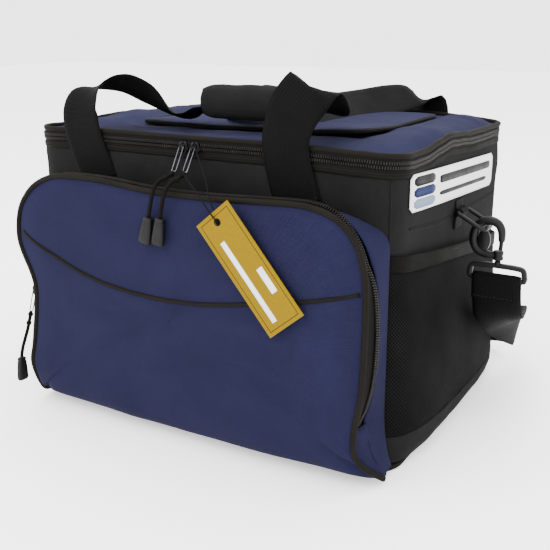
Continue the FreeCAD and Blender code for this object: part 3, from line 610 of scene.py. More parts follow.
def build_pulls():
    """Every pull: its wire loop, its braided cord with two knots and its rubber end."""
    for name, (top, low, across, route, lean, length) in PULLS.items():
        cord = link(cord_curve(name + "_braid", route, PULL_CORD, "cord"), name,
                    [name + "_cord"])
        end = link(pull_end(name + "_grip", route[-1], lean, across), name, [name + "_end"])
        link(pull_wire(name + "_loop", top, low, across), name, [name + "_wire"])
        knots = []
        for k in (0, 1):
            at = Vector(route[k]) * 0.7 + Vector(route[k + 1]) * 0.3
            way = (Vector(route[k + 1]) - Vector(route[k])).normalized()
            line = [at + way * step for step in (-2.0, -1.2, 0, 1.2, 2.0)]
            knots.append(tube("%s_knot_%d" % (name, k), line, knot_radius, "cord"))
        knot = link(joined(name + "_knots", knots), name)


# ---- hang tag ----

TAG_HOLE, TAG_LEAN = Vector((56.8, -208, 228.2)), math.radians(-39.3)
TAG_HALF, TAG_ABOVE, TAG_BELOW, TAG_THICK = 20.5, 9.0, 105.0, 0.8
TAG_BORDER, TAG_LINE, TAG_INK, TAG_EYELET = 3.4, 0.55, 0.06, 3.1


def on_tag(x, z, out=0.0):
    """A point on the tag's face from its own axes about the hole. out is towards the front."""
    c, s = math.cos(TAG_LEAN), math.sin(TAG_LEAN)
    return TAG_HOLE + Vector((x * c + z * s, -out, -x * s + z * c))


def tag_plate(name, outline, skin, low, high, hole=None):
    """A flat plate of the tag's plane between two distances out from its middle."""
    if hole:
        loops = [[on_tag(x, z, out) for x, z in loop] for loop, out in
                 ((outline, high), (hole, high), (hole, low), (outline, low))]
        return endless(name, loops, skin)
    return capped(name, [[on_tag(x, z, out) for x, z in outline] for out in (low, high)], skin)


def rectangle_loop(x0, x1, z0, z1, count=48):
    """Points on a rectangle's edge, met by rays from its middle at even angles, corners kept."""
    centre = ((x0 + x1) / 2, (z0 + z1) / 2)
    corners = [math.atan2(z - centre[1], x - centre[0])
               for x, z in ((x1, z1), (x0, z1), (x0, z0), (x1, z0))]
    angles = [2 * math.pi * k / count - math.pi for k in range(count)]
    for corner in corners:
        nearest = min(range(count), key=lambda k: abs(angles[k] - corner))
        angles[nearest] = corner
    loop = []
    for a in angles:
        c, s = math.cos(a), math.sin(a)
        reach_x = ((x1 if c > 0 else x0) - centre[0]) / c if abs(c) > 1e-9 else 1e9
        reach_z = ((z1 if s > 0 else z0) - centre[1]) / s if abs(s) > 1e-9 else 1e9
        reach = min(reach_x, reach_z)
        loop.append((centre[0] + c * reach, centre[1] + s * reach))
    return loop


def tag_loop(inset):
    return rectangle_loop(inset - TAG_HALF, TAG_HALF - inset, inset - TAG_BELOW, TAG_ABOVE - inset)


def build_tag():
    """The tag's printed border on both faces, its bars, its eyelet and its string."""
    half = TAG_THICK / 2
    printed = half + TAG_INK
    marks = []
    for side in (1, -1):
        outer, inner = tag_loop(TAG_BORDER), tag_loop(TAG_BORDER + TAG_LINE)
        marks.append(tag_plate("tag_line_%d" % side, outer, "ink", side * half, side * printed, inner))
    for x0, x1, top, low in ((6.2, 12.6, -52, -76), (-9.8, -4.6, -16, -96)):
        marks.append(tag_plate("tag_bar_%d" % x0, rectangle_loop(x0, x1, low, top), "white", half, printed))
    rim = [on_tag(TAG_EYELET * math.cos(a), TAG_EYELET * math.sin(a), half) for a in turn_angles(32)]
    marks.append(tube("tag_eyelet", rim, 0.35, "ink", 8, closed=True))
    link(joined("tag_print", marks), "lid_pull_right")
    string = link(cord_curve("tag_loop", TAG_STRING_ROUTE, TAG_STRING, "string"), "lid_pull_right",
                  ["tag_string"])


# ---- the body ----

HALF_X, HALF_Y, CORNER = 195.0, 156.0, 28.0
FLAT_X, FLAT_Y = HALF_X - CORNER, HALF_Y - CORNER
SHELL_TOP, SEAM_HIGH, SKIN_THICK = 272.0, 212.0, 1.15
LID_LEVEL = 280.0
# Points along the front, along a side and round a corner.
BODY_COUNTS, LID_COUNTS = (96, 74, 8), (66, 52, 10)
# How far the lid's edge stands above level, by place along it.
RIGHT_WAVE = [(-150, -3.6), (-118, -5.4), (-90, -5.4), (-58, -2.2), (-30, 0.2), (0, -1.8), (34, -4.6),
              (80, -5.6), (128, -6.2)]
LEFT_WAVE = [(-150, 0.0), (-118, -0.8), (-90, -1.0), (-58, 1.4), (-30, 2.0), (0, 0.6), (34, -1.6), (80, -4.0),
             (128, -5.5)]
REAR_WAVE = [(-195, -5.5), (-100, 0.0), (90, 0.0), (195, -6.0)]
FRONT_WAVE = [(-195, -1.0), (-112, 1.0), (0, 0.6), (70, 0.6), (120, -0.6), (160, -1.8), (195, -1.2)]


def rounded_loop(half_x, half_y, corner, middle=(0, 0), counts=(60, 46, 8)):
    """Points round a rounded rectangle seen from above, from its rear middle by the left and the
    front, each with its outward direction. Loops with equal counts match point for point."""
    long, short, bend = counts
    flat_x, flat_y = half_x - corner, half_y - corner
    found = []

    def run(start, end, count, out):
        for k in range(count):
            t = k / count
            found.append((start[0] + (end[0] - start[0]) * t, start[1] + (end[1] - start[1]) * t, *out))

    def turn(cx, cy, first):
        for k in range(bend):
            a = math.radians(first + 90 * k / bend)
            found.append((cx + corner * math.cos(a), cy + corner * math.sin(a), math.cos(a), math.sin(a)))

    run((0, half_y), (-flat_x, half_y), long // 2, (0, 1))
    turn(-flat_x, flat_y, 90)
    run((-half_x, flat_y), (-half_x, -flat_y), short, (-1, 0))
    turn(-flat_x, -flat_y, 180)
    run((-flat_x, -half_y), (flat_x, -half_y), long, (0, -1))
    turn(flat_x, -flat_y, 270)
    run((half_x, -flat_y), (half_x, flat_y), short, (1, 0))
    turn(flat_x, flat_y, 0)
    run((flat_x, half_y), (0, half_y), long // 2, (0, 1))
    return [(x + middle[0], y + middle[1], nx, ny) for x, y, nx, ny in found]


def inset_loop(inset, counts):
    """The body's outline, drawn in on all sides."""
    return rounded_loop(HALF_X - inset, HALF_Y - inset, CORNER - inset, counts=counts)


def edge_wave(x, y):
    """How far the lid's edge rises above level, a soft wave along the sides and the front."""
    side = eased(abs(x), 165, 192) * table_value(RIGHT_WAVE if x > 0 else LEFT_WAVE, y)
    rear = eased(y, 130, 155) * table_value(REAR_WAVE, x) * (1 - eased(x, 165, 192))
    front = eased(-y, 120, 150) * table_value(FRONT_WAVE, x)
    return side + rear + front * (1 - eased(abs(x), 170, 192))


def corner_push(x, y, z):
    """How far the full front left corner stands out from the even outline, more towards the top."""
    share = eased(-x, 140, 192) * eased(-y, 110, 152) * (0.55 + 0.45 * eased(z, 150, 250))
    return Vector((-6.0 * share, -1.5 * share, 0))


def side_seam(y):
    """The height of the seam across each side, falling towards the rear as far as the strap's tab."""
    return table_value([(-128, 221), (-42, 212), (0, 209), (128, 209)], y)


def body_bulge(x, y, nx, ny, z):
    """How far the padded wall stands out, held in at the corners and at the seams."""
    on_side = abs(nx) > 0.5
    share = y / FLAT_Y if on_side else x / FLAT_X
    if abs(share) >= 1:
        return 0.0
    high = side_seam(y) if on_side else SEAM_HIGH
    if z > high:
        arch = math.sin(math.pi * min(1.0, (z - high) / (SHELL_TOP - high)))
        return 2.2 * (1 - share ** 4) * max(0.0, arch) ** 0.7
    amount = 4.5 if on_side else 3.0
    if ny < -0.5:
        amount = 0.8
    arch = math.sin(math.pi * min(1.0, max(0.0, z) / high))
    return amount * (1 - share * share) * max(0.0, arch) ** 0.7


def body_point(x, y, nx, ny, z):
    """A point of the black outer skin: the wall's outline, its bulge and its wrinkles."""
    out = body_bulge(x, y, nx, ny, z)
    place = (x, y, z)
    fold = wrinkle(place, 42, (1, 1, 0.8), 3.0) * 0.9 + wrinkle(place, 17, (1, 1, 0.6), 9.0) * 0.35
    top = eased(z, 212, 240) * (1 - eased(z, 262, 272))
    fold += top * (crease(place, 55, (1, 1, 0.35), 5.0) - 0.35) * 1.3
    if abs(nx) > 0.5:
        level = crease(place, 60, (1, 0.35, 1.6), 21.0) * eased(z, 226, 240) * (1 - eased(z, 262, 271))
        fold += (level - 0.3) * 1.2
    calm = eased(z, 0, 12) * (1 - eased(z, 268, 272))
    if nx > 0.5:
        calm *= 1 - 0.85 * eased(z, 208, 222) * (1 - eased(y, 100, 125))
    out += fold * calm
    return Vector((x + nx * out, y + ny * out, z)) + wall_shift(x, y, z)


def wall_shift(x, y, z):
    """How far a wall's point moves with the edge's wave, which fades downwards, and the full corner."""
    return Vector((0, 0, edge_wave(x, y) * eased(z, 205, 272))) + corner_push(x, y, z)


def edge_place(x, y, z):
    """A place on the lid's edge, moved with its wave and its full corner."""
    return Vector((x, y, z + edge_wave(x, y))) + corner_push(x, y, z)


def build_body():
    """The black outer skin with its inner face, and its seams."""
    loop = inset_loop(0, BODY_COUNTS)
    inner = inset_loop(SKIN_THICK, BODY_COUNTS)
    heights = [0.6 + k * 5.0 for k in range(54)] + [269.5, SHELL_TOP]
    rows = [[body_point(x, y, nx, ny, z) for x, y, nx, ny in loop] for z in heights]
    rows += [[Vector((x, y, z)) + wall_shift(x, y, z) for x, y, _, _ in inner]
             for z in (271.6, 255, 230, 205, 120, 0.8)]
    skin = endless("body_skin", rows, "black")
    link(skin, "root", ["outer_shell"])
    build_body_seams()


def skin_line(places, lift):
    """Points on the body's skin for (x, y, nx, ny, z) places, lifted off it."""
    return [body_point(x, y, nx, ny, z) + Vector((nx, ny, 0)) * lift for x, y, nx, ny, z in places]


def build_body_seams():
    """Raised seams: one down each corner and one across each side, with its row of stitches."""
    loop = inset_loop(0, BODY_COUNTS)
    corners = [p for p in loop if abs(p[2]) > 0.05 and abs(p[3]) > 0.05]
    seams = []
    for sx in (1, -1):
        for sy in (-1, 1):
            middle = [p for p in corners if p[0] * sx > 0 and p[1] * sy > 0]
            x, y, nx, ny = middle[len(middle) // 2]
            line = skin_line([(x, y, nx, ny, z) for z in range(4, 271, 6)], 0.1)
            seams.append(tube("corner_seam_%d%d" % (sx, sy), line, 0.9, "black", 8))
        across = [(sx * HALF_X, y, sx, 0, side_seam(y)) for y in range(-126, 128, 6)]
        seams.append(tube("side_seam_%d" % sx, skin_line(across, 0.05), 0.8, "black", 8))
        low = [(sx * HALF_X, y, sx, 0, side_seam(y) - 3.2) for y in range(-126, 128, 6)]
        seams.append(stitches("side_stitches_%d" % sx, skin_line(low, 0.1), (sx, 0, 0)))
    link(joined("body_seams", seams), "root")


# ---- lid edge: zip tapes, teeth and binding ----

def parted_edge(counts):
    """The way round the lid's edge in two: by the front, and by the rear between the rear corners."""
    loop = inset_loop(0, counts)
    first = next(k for k, p in enumerate(loop) if p[2] < -0.999)
    last = max(k for k, p in enumerate(loop) if p[2] > 0.999)
    return loop[first:last + 1], loop[last:] + loop[:first + 1]


def edge_strip(name, section, skin, path, wrap=False):
    """A strip of a given section (out, up) carried along the lid's waving edge."""
    rows = []
    for x, y, nx, ny in path:
        here = Vector((x, y, edge_wave(x, y))) + corner_push(x, y, LID_LEVEL)
        rows.append([here + Vector((nx * out, ny * out, z)) for out, z in section])
    return lofted(name, rows, skin, wrap_rows=wrap, wrap_columns=True, cap=not wrap)


COIL_PITCH, COIL_HALF, COIL_OUT = 2.2, (0.66, 2.1, 0.9), 0.5


def zip_row(name, path, z, shift):
    """One row of the lid's zip coil, seen as close rounded beads."""
    line = [edge_place(x, y, z) + Vector((nx * COIL_OUT, ny * COIL_OUT, 0)) for x, y, nx, ny in path]
    places = []
    for middle, along in even(line, COIL_PITCH):
        facing = along.cross(Vector((0, 0, 1))).normalized()
        places.append((middle + along * shift, along, facing))
    return beads(name, places, "teeth", COIL_HALF)


def build_lid_edge():
    """Both tapes and coils of the main zip and the lid's bound edge."""
    path = parted_edge((67, 51, 10))[0]
    rear_path = parted_edge(LID_COUNTS)[1]
    whole = inset_loop(0, LID_COUNTS)
    lower = [(-1.0, 268.6), (0.3, 268.6), (1.2, 269.6), (1.4, 271.6), (1.3, 274.0), (0.6, 275.2),
             (0.1, 276.0), (0.1, 280.1), (-1.0, 280.2)]
    link(edge_strip("body_zip_band", lower, "tape", path), "root", ["body_zip_tape"])
    rear = [(-1.6, 268.6), (0.1, 268.6), (0.1, 280.2), (-1.6, 280.2)]
    link(edge_strip("rear_rim_band", rear, "black", rear_path), "root")
    upper = [(-1.0, 280.3), (0.1, 280.4), (0.3, 283.4), (0.6, 285.6), (-1.0, 285.8)]
    link(edge_strip("lid_zip_band", upper, "tape", whole, wrap=True), "lid", ["lid_zip_tape"])
    link(zip_row("body_zip_coil", path, 278.5, 0.0), "root", ["body_zip_teeth"])
    link(zip_row("lid_zip_coil", path, 282.1, COIL_PITCH / 2), "lid", ["lid_zip_teeth"])
    ring = inset_loop(1, (80, 62, 10))
    line = [edge_place(x, y, 287.65) for x, y, _, _ in ring]
    link(tube("lid_edge_binding", line, 2.6, "binding", 12, closed=True), "lid", ["lid_binding"])
    lip = [(-2.2, 284.6), (-0.2, 284.2), (0.5, 285.0), (-0.4, 285.9)]
    link(edge_strip("lid_edge_welt", lip, "binding", whole, wrap=True), "lid")


# Each slider's place on its teeth and the way it faces.
SLIDERS = {
    "lid_slider_left": ((-12.2, -HALF_Y - 1.15, 280.5), (0, -1, 0)),
    "lid_slider_right": ((0.7, -HALF_Y - 1.15, 280.5), (0, -1, 0)),
    "pocket_slider": ((-186.15, -185.5, 124), (-1, 0, 0)),
}
# A slider's shield as (height off the tape, share of its size), its bridge as (along, off the tape).
SHIELD, SHIELD_HALF, SHIELD_TAPER = ((0, 0.86), (0.5, 1.0), (1.7, 1.0), (2.3, 0.84), (2.4, 0.5)), 4.8, 0.16
BRIDGE = [(3.9, 2.0), (3.7, 4.4), (2.1, 6.2), (-1.5, 6.3), (-3.6, 5.6), (-4.2, 3.8), (-4.0, 2.0)]


def build_slider(name, middle, out):
    """A zip slider: a tapered shield in front of the teeth and a bridge that holds the pull."""
    middle, out, up = Vector(middle), Vector(out), Vector((0, 0, 1))
    side = up.cross(out)

    def at(across, along, lift):
        return middle + side * across + up * along + out * lift

    rows = []
    for lift, share in SHIELD:
        row = []
        for a in turn_angles(32):
            c, s = squared(a, 4)
            taper = 1 - SHIELD_TAPER * math.sin(a)
            row.append(at(c * share * SHIELD_HALF * taper, s * share * SHIELD_HALF, lift))
        rows.append(row)
    shield = capped(name + "_shield", rows, "metal")
    line = curved([at(0, along, lift) for along, lift in BRIDGE], 1.2)
    bridge = tube(name + "_bridge", line, 0.9, "metal", 10)
    link(joined(name + "_body", [shield, bridge]), name, [name])


# ---- lid top and access flap ----

# The access hole: half sizes, corner radius and middle.
HOLE = (100.0, 77.5, 12.0, (0.0, 22.0))
FLAP_MIDDLE, FLAP_HALF, FLAP_CORNER = (6.0, 17.5), (125.5, 100.5), 14.0
FLAP_FLOOR, FLAP_THICK = 286.8, 4.5
LID_UNDERSIDE = 274.2


def under_flap(x, y):
    """1 where the flap lies on the lid, 0 clear of it."""
    return min(eased(FLAP_HALF[0] + 6 - abs(x - FLAP_MIDDLE[0]), 0, 16),
               eased(FLAP_HALF[1] + 6 - abs(y - FLAP_MIDDLE[1]), 0, 16))


def lid_height(x, y, share):
    """The lid's top face: tucked under the binding, softly quilted, flat where the flap lies."""
    in_flap = under_flap(x, y)
    place = (x, y, 0)
    quilt = wrinkle(place, 46, (1, 1, 1), 13) * 1.5 + (crease(place, 64, (0.6, 1.2, 1), 17) - 0.3) * 1.6
    near_edge = eased(share, 0, 0.22)
    puff = 4.2 * (eased(x, 128, 158) + 1.2 * eased(-x, 118, 160)) * (1 - eased(-y, 90, 150))
    rise = (1.6 + puff + quilt) * near_edge * (1 - in_flap)
    return 286.2 + rise - 0.6 * in_flap


def edge_fall(x0, y0, share, in_flap):
    """How much of the edge's wave is left a share of the way in from an edge place."""
    return edge_wave(x0, y0) * (1 - eased(share, 0.02, 0.5)) * (1 - in_flap)


def build_lid_top():
    """The lid's top face and underside, with the access hole through both."""
    counts = (72, 56, 8)
    outer = inset_loop(1.6, counts)
    inner = rounded_loop(*HOLE, counts)
    rows = []
    steps = 26
    for k in range(steps + 1):
        share = k / steps
        row = []
        for (x0, y0, _, _), (x1, y1, _, _) in zip(outer, inner):
            x, y = x0 + (x1 - x0) * share, y0 + (y1 - y0) * share
            fall = edge_fall(x0, y0, share, under_flap(x, y))
            row.append(Vector((x, y, lid_height(x, y, share) + fall)) + corner_push(x, y, LID_LEVEL))
        rows.append(row)
    rows.append([Vector((x, y, LID_UNDERSIDE)) for x, y, _, _ in inner])
    rows.append([Vector((x, y, LID_UNDERSIDE)) for x, y, _, _ in outer])
    # The lid skin is the navy cloth painted lighter, as painted light on this upward face.
    link(endless("lid_top", rows, "lid"), "lid",
         ["lid_panel", "lid_foam"])


def flap_lift(x, y):
    """How far the flap stands off the lid: its front right corner curls up and its edge waves."""
    u, v = (x - FLAP_MIDDLE[0]) / FLAP_HALF[0], (y - FLAP_MIDDLE[1]) / FLAP_HALF[1]
    corner = eased(u, 0.35, 1.0) * eased(-v, 0.1, 1.0) * 4.2
    return corner + 0.9 * math.sin(u * 5.0 + 0.6) * eased(-v, 0.2, 1.0) + 0.7 * eased(-v, 0.4, 1)


def build_flap():
    """The padded access flap and the binding round its three free sides."""
    counts = (44, 36, 8)
    ring = rounded_loop(FLAP_HALF[0], FLAP_HALF[1], FLAP_CORNER, FLAP_MIDDLE, counts)
    rows = []
    top = [1.0, 0.985, 0.96, 0.92] + [0.86 - 0.06 * k for k in range(15)] + [0.01]
    underside = [0.01 + 0.11 * k for k in range(10)]
    for side, shares in ((1, top), (-1, underside)):
        for share in shares:
            row = []
            for x0, y0, _, _ in ring:
                x = FLAP_MIDDLE[0] + (x0 - FLAP_MIDDLE[0]) * share
                y = FLAP_MIDDLE[1] + (y0 - FLAP_MIDDLE[1]) * share
                z = FLAP_FLOOR + flap_lift(x, y)
                if side > 0:
                    place = (x, y, 0)
                    puff = 1.8 * (1 - share ** 10)
                    puff += wrinkle(place, 38, (1, 1, 1), 31) * 1.1 * (1 - share ** 6)
                    z += FLAP_THICK - 0.6 + puff + (crease(place, 70, (0.5, 1.1, 1), 37) - 0.3) * 0.9
                row.append(Vector((x, y, z)))
            rows.append(row)
    # The flap takes the lid skin: navy cloth painted lighter, as painted light on its top.
    flap = endless("padded_flap", rows, "lid")
    link(flap, "access_flap", ["access_flap"])
    edge = [p for p in ring if p[1] < FLAP_MIDDLE[1] + FLAP_HALF[1] - 15]
    first = next(k for k, p in enumerate(edge) if p[2] < -0.999)
    line = [Vector((x + nx * 0.8, y + ny * 0.8, FLAP_FLOOR + 2.3 + flap_lift(x, y)))
            for x, y, nx, ny in edge[first:]]
    line = [p for k, p in enumerate(line) if k == 0 or (p - line[k - 1]).length > 0.5]
    link(tube("flap_edge_binding", line, 2.5, "tape"), "access_flap",
         ["access_flap_binding"])


# ---- front pocket ----

# Matching points round the pocket from its lower left by the top to its lower right:
# the front piping, the zip's middle and the seam on the body.
PIPING_EDGE = [
    (-197, -168, 6), (-190, -184, 14), (-190, -192, 30), (-191.5, -195, 48), (-186.5, -195.5, 66),
    (-182, -196, 85), (-177, -196, 112), (-175.5, -196, 133), (-180, -196, 149), (-188, -196, 166),
    (-192.5, -196, 182), (-190, -196, 203), (-182.5, -196, 219.5), (-167.5, -196, 235), (-148, -196, 245),
    (-127, -195.5, 249), (-82, -195, 248.6), (-25, -194.5, 243.6), (30, -194.5, 243), (80, -195, 245.2),
    (122, -195.5, 247), (142, -195.5, 245.2), (158.5, -196, 240), (171, -196, 231), (179.5, -196, 218),
    (184.5, -196, 203), (187, -196, 184), (187.5, -196, 152), (186.5, -196, 117), (184.5, -196, 90),
    (181.5, -196, 71), (179.5, -195.5, 59), (178.5, -195, 47), (180, -193, 35), (186, -186, 22),
    (197, -169, 7)]
ZIP_LINE = [
    (-196.4, -163, 6), (-190, -174, 16), (-188, -180, 32), (-187, -182.5, 48), (-184.5, -184, 64),
    (-184.4, -185, 85), (-184.8, -185.4, 112), (-184.8, -185.4, 133), (-185, -185.4, 149), (-187, -185, 166),
    (-188, -185, 182), (-185.5, -185, 203), (-178.5, -185, 220), (-164, -185, 236), (-145.5, -185, 246.2),
    (-126, -185, 250), (-82, -184.5, 249.8), (-25, -184, 245.4), (30, -184, 245), (80, -184.5, 247),
    (122, -185, 248.6), (142, -184, 246.6), (155, -183, 241), (166, -182.5, 231), (175.5, -182, 216),
    (181.5, -182, 201), (188.5, -181.5, 183), (191.5, -181, 156), (191.5, -181, 122), (188.5, -181, 95),
    (183.5, -182, 74), (178, -183, 59), (183, -183, 46), (186, -182, 35), (190, -178, 23), (196.4, -165, 8)]
BODY_SEAM = [
    (-195.6, -146, 5), (-191, -150, 16), (-188, -150, 32), (-187.5, -150, 48), (-187.5, -150, 64),
    (-187.5, -150, 85), (-187.5, -150, 112), (-187.5, -150, 133), (-187.5, -150, 149), (-187, -151, 166),
    (-185, -153, 182), (-181, -156, 203), (-172, -157, 216), (-156, -157, 227), (-140, -157, 233),
    (-122, -157, 235), (-82, -157, 234.5), (-25, -157, 232), (30, -157, 232), (80, -157, 234),
    (122, -157, 237), (142, -157, 237), (158, -157, 234), (172, -156, 229), (182, -152.5, 223),
    (187.4, -149, 212), (188, -148.6, 190), (188, -148.6, 152), (188, -148.6, 120), (188, -148.6, 93),
    (188, -148.6, 73), (188, -148.6, 59), (188.6, -148.6, 46), (190, -148.4, 34), (192, -148, 22),
    (195.6, -146, 7)]
GUSSET_DEPTH, TAPE_THICK = 0.78, 0.9
FOLD_HIGH = 58.3
POCKET_CENTRE, POCKET_OVAL, PANEL_HALF = (-2.0, 128.0), (114.0, 36.0), (190.0, 120.0)
PANEL_Y, PANEL_CROWN = -196.4, 6.4


def outward(p, middle_x=POCKET_CENTRE[0]):
    """The way out from the pocket's middle, seen from the front."""
    return Vector((p.x - middle_x, 0, p.z - POCKET_CENTRE[1])).normalized()


def pocket_lines():
    """The three lines, smooth and matched point for point."""
    line = curved([a + b + c for a, b, c in zip(PIPING_EDGE, ZIP_LINE, BODY_SEAM)])
    return [[Vector(p[k:k + 3]) for p in line] for k in (0, 3, 6)]


def panel_centre(edge):
    """Where the front panel's mesh runs to from a point of its edge: a flat oval in the middle."""
    cx, cz = POCKET_CENTRE
    turn = math.atan2((edge.z - cz) / PANEL_HALF[1], (edge.x - cx) / PANEL_HALF[0])
    return cx + POCKET_OVAL[0] * math.cos(turn), cz + POCKET_OVAL[1] * math.sin(turn)


def panel_face(x, z, inward):
    """The y of the panel's face a distance in from its edge: crowned, rippled and pulled in at the piping."""
    crown = PANEL_CROWN * (1 - math.exp(-inward / 20))
    place = (x, 0, z)
    ripple = wrinkle(place, 70, (1.3, 1, 0.55), 43) * 2.0 + wrinkle(place, 26, (1, 1, 0.7), 47) * 0.6
    low = 1 - eased(z, 24, 105)
    ripple += low * wrinkle(place, 30, (1.2, 1, 0.7), 53) * 1.3
    swoop = abs(z - swoop_height(x))
    pinch = 0.8 * math.exp(-(swoop / 9) ** 2)
    return PANEL_Y - crown - ripple * eased(inward, 0, 24) + pinch


SWOOP = [(-189, 192), (-170, 182), (-147.8, 172.5), (-116, 161), (-85, 153.8), (-55, 149.2), (-25, 147.3),
         (3, 147.4), (31, 149.6), (73, 156), (132, 168), (159, 174.8), (183, 181)]


def swoop_height(x):
    for (x0, z0), (x1, z1) in zip(SWOOP, SWOOP[1:]):
        if x <= x1:
            return z0 + (z1 - z0) * (x - x0) / (x1 - x0)
    return SWOOP[-1][1]


def edge_trees(edge):
    """The panel's four sides as seen from the front, ready to be asked how near a place is to them."""
    fine = curved([(p.x, 0, p.z) for p in edge], 1.0, closed=True)
    cx, cz = POCKET_CENTRE
    sides = {}
    for p in fine:
        level = abs(p.x - cx) / PANEL_HALF[0] > abs(p.z - cz) / PANEL_HALF[1]
        sides.setdefault((level, p.x > cx if level else p.z > cz), []).append(p)
    trees = []
    for places in sides.values():
        tree = kdtree.KDTree(len(places))
        for k, p in enumerate(places):
            tree.insert(p, k)
        tree.balance()
        trees.append(tree)
    return trees


def inward_of(trees, x, z):
    """The distance in from the panel's edge, eased where two sides are equally near."""
    nears = [max(0.01, tree.find(Vector((x, 0, z)))[2]) for tree in trees]
    return sum(near ** -3 for near in nears) ** (-1 / 3)


def panel_point(edge, t, trees):
    """A point of the panel's outer face, t from 0 at the piping to 1 at the middle oval."""
    cx, cz = panel_centre(edge)
    x, z = edge.x + (cx - edge.x) * t, edge.z + (cz - edge.z) * t
    inward = inward_of(trees, x, z)
    face = panel_face(x, z, inward)
    hold = math.exp(-inward / (3 + 5 * eased(edge.y, -195, -178)))
    return Vector((x, face + (edge.y - face) * hold, z))


def bottom_line(count, start, end):
    """The panel's lower edge where it turns under the pocket, from the lower right back to the left."""
    found = []
    for k in range(1, count):
        t = k / count
        x = start.x + (end.x - start.x) * t
        dip = math.sin(math.pi * t)
        z = 6.4 - 2.2 * dip + 0.9 * wrinkle((x, 0, 0), 40, seed=61)
        found.append(Vector((x, -168 - 9 * dip ** 0.5, z)))
    return found


def build_pocket():
    """The front pocket, all from its three matched lines."""
    piping, zipped, seam = pocket_lines()
    under = bottom_line(62, piping[-1], piping[0])
    edge = piping + under
    build_panel(edge)
    build_gusset(piping, zipped, seam, under)
    build_pocket_zip(piping, zipped)
    build_pocket_piping(piping)


def build_panel(edge):
    """The pocket's front: rings from the piping to the middle, then a few behind them for its back."""
    shares = [0, 0.008, 0.02, 0.04, 0.065, 0.095, 0.13] + [0.17 + 0.0435 * k for k in range(20)]
    trees = edge_trees(edge)
    rows = [[panel_point(p, t, trees) for p in edge] for t in shares]
    cx, cz = POCKET_CENTRE
    oval = rows[-1]
    for share in (0.8, 0.6, 0.4, 0.2, 0.05, 0.001):
        places = [(cx + (p.x - cx) * share, cz + (p.z - cz) * share) for p in oval]
        rows.append([Vector((x, panel_face(x, z, inward_of(trees, x, z)), z)) for x, z in places])
    back = [[p + Vector((0, 2.6, 0)) for p in rows[k]] for k in (-1, -4, 14, 6, 2)]
    back.append([p + Vector((0, 1.2, 0)) for p in rows[0]])
    panel = endless("pocket_front_panel", rows + back, "navy")
    link(panel, None, ["pocket_panel", "pocket_lower_panel"])
    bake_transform(panel)


def gusset_walls(zipped, seam):
    """Navy walls from the body out towards the zip."""
    rows = []
    for a, b in zip(seam, zipped):
        row = []
        for j in range(9):
            p = a + (b - a) * (j / 8 * GUSSET_DEPTH)
            pleat = math.sin(j / 8 * math.pi) * wrinkle(p, 24, (1, 0.4, 1), 67) * 1.8
            row.append(p + outward(p) * pleat)
        rows.append(row)
    back = [[p - outward(p, 0) * 1.2 for p in reversed(row)] for row in rows]
    return capped("gusset_wall", [row + other for row, other in zip(rows, back)], "navy")


def gusset_low(name, kept, piping, zipped, seam):
    """The wall on one side where it closes up to the piping, below the zip's end."""
    rows = []
    for k in kept:
        a, b = seam[k] + (zipped[k] - seam[k]) * (GUSSET_DEPTH - 0.1), piping[k]
        row = []
        for lip, t in there_and_back(8):
            p = a + (b - a) * t
            pleat = math.sin(t * math.pi) * (1.6 + 2.2 * wrinkle(p, 13, (1, 1, 0.8), 71))
            p = p + Vector((math.copysign(pleat, p.x), 0, 0))
            row.append(p - Vector((math.copysign(1.3 * lip, p.x), 0, 0)))
        rows.append(row)
    return capped("gusset_low_" + name, rows, "navy")


def gusset_floor(under):
    """The pocket's floor, from its lower edge back to the body."""
    rows = [[Vector((p.x, p.y - 1, p.z + 0.4)), Vector((p.x, -165, 4.6)), Vector((p.x, -156.5, 3.4)),
             Vector((p.x, -156.5, 4.8)), Vector((p.x, -165, 6.0)), Vector((p.x, p.y, p.z + 1.8))]
            for p in under]
    return capped("gusset_floor", rows, "navy")


def build_gusset(piping, zipped, seam, under):
    """The pocket's navy sides, closed below the zip's ends and under the pocket."""
    walls = [gusset_walls(zipped, seam)]
    for name, side, top in (("left", -1, 64), ("right", 1, 61)):
        kept = [k for k, p in enumerate(zipped) if p.x * side > 0 and p.z < top]
        walls.append(gusset_low(name, kept, piping, zipped, seam))
    walls.append(gusset_floor(under))
    link(joined("pocket_gusset_walls", walls), "root", ["pocket_gusset"])


def above_fold(*lines):
    """The part of matched lines that lies above the fold."""
    chosen = [k for k, p in enumerate(lines[-1]) if p.z > FOLD_HIGH]
    return [line[chosen[0]:chosen[-1] + 1] for line in lines]


def tape_band(name, near, far, cells, bow):
    """A band of zip tape between two matched lines, with a real thickness."""
    rows = []
    for a, b in zip(near, far):
        out = outward(a)
        rows.append([a + (b - a) * t + out * (bow * math.sin(math.pi * t)) - out * TAPE_THICK * lip
                     for lip, t in there_and_back(cells)])
    return capped(name, rows, "tape")


def pocket_coil(name, teeth, forward, shift):
    """One half of the pocket's zip coil, forward or back of the zip's middle."""
    places = []
    for middle, along in even(teeth, COIL_PITCH):
        out = outward(middle)
        out = (out - along * out.dot(along)).normalized()
        places.append((middle + along * shift + Vector((0, forward, 0)) + out * 0.4, along, out))
    return beads("pocket_zip_%s_coil" % name, places, "teeth", (0.66, 2.0, 0.9))


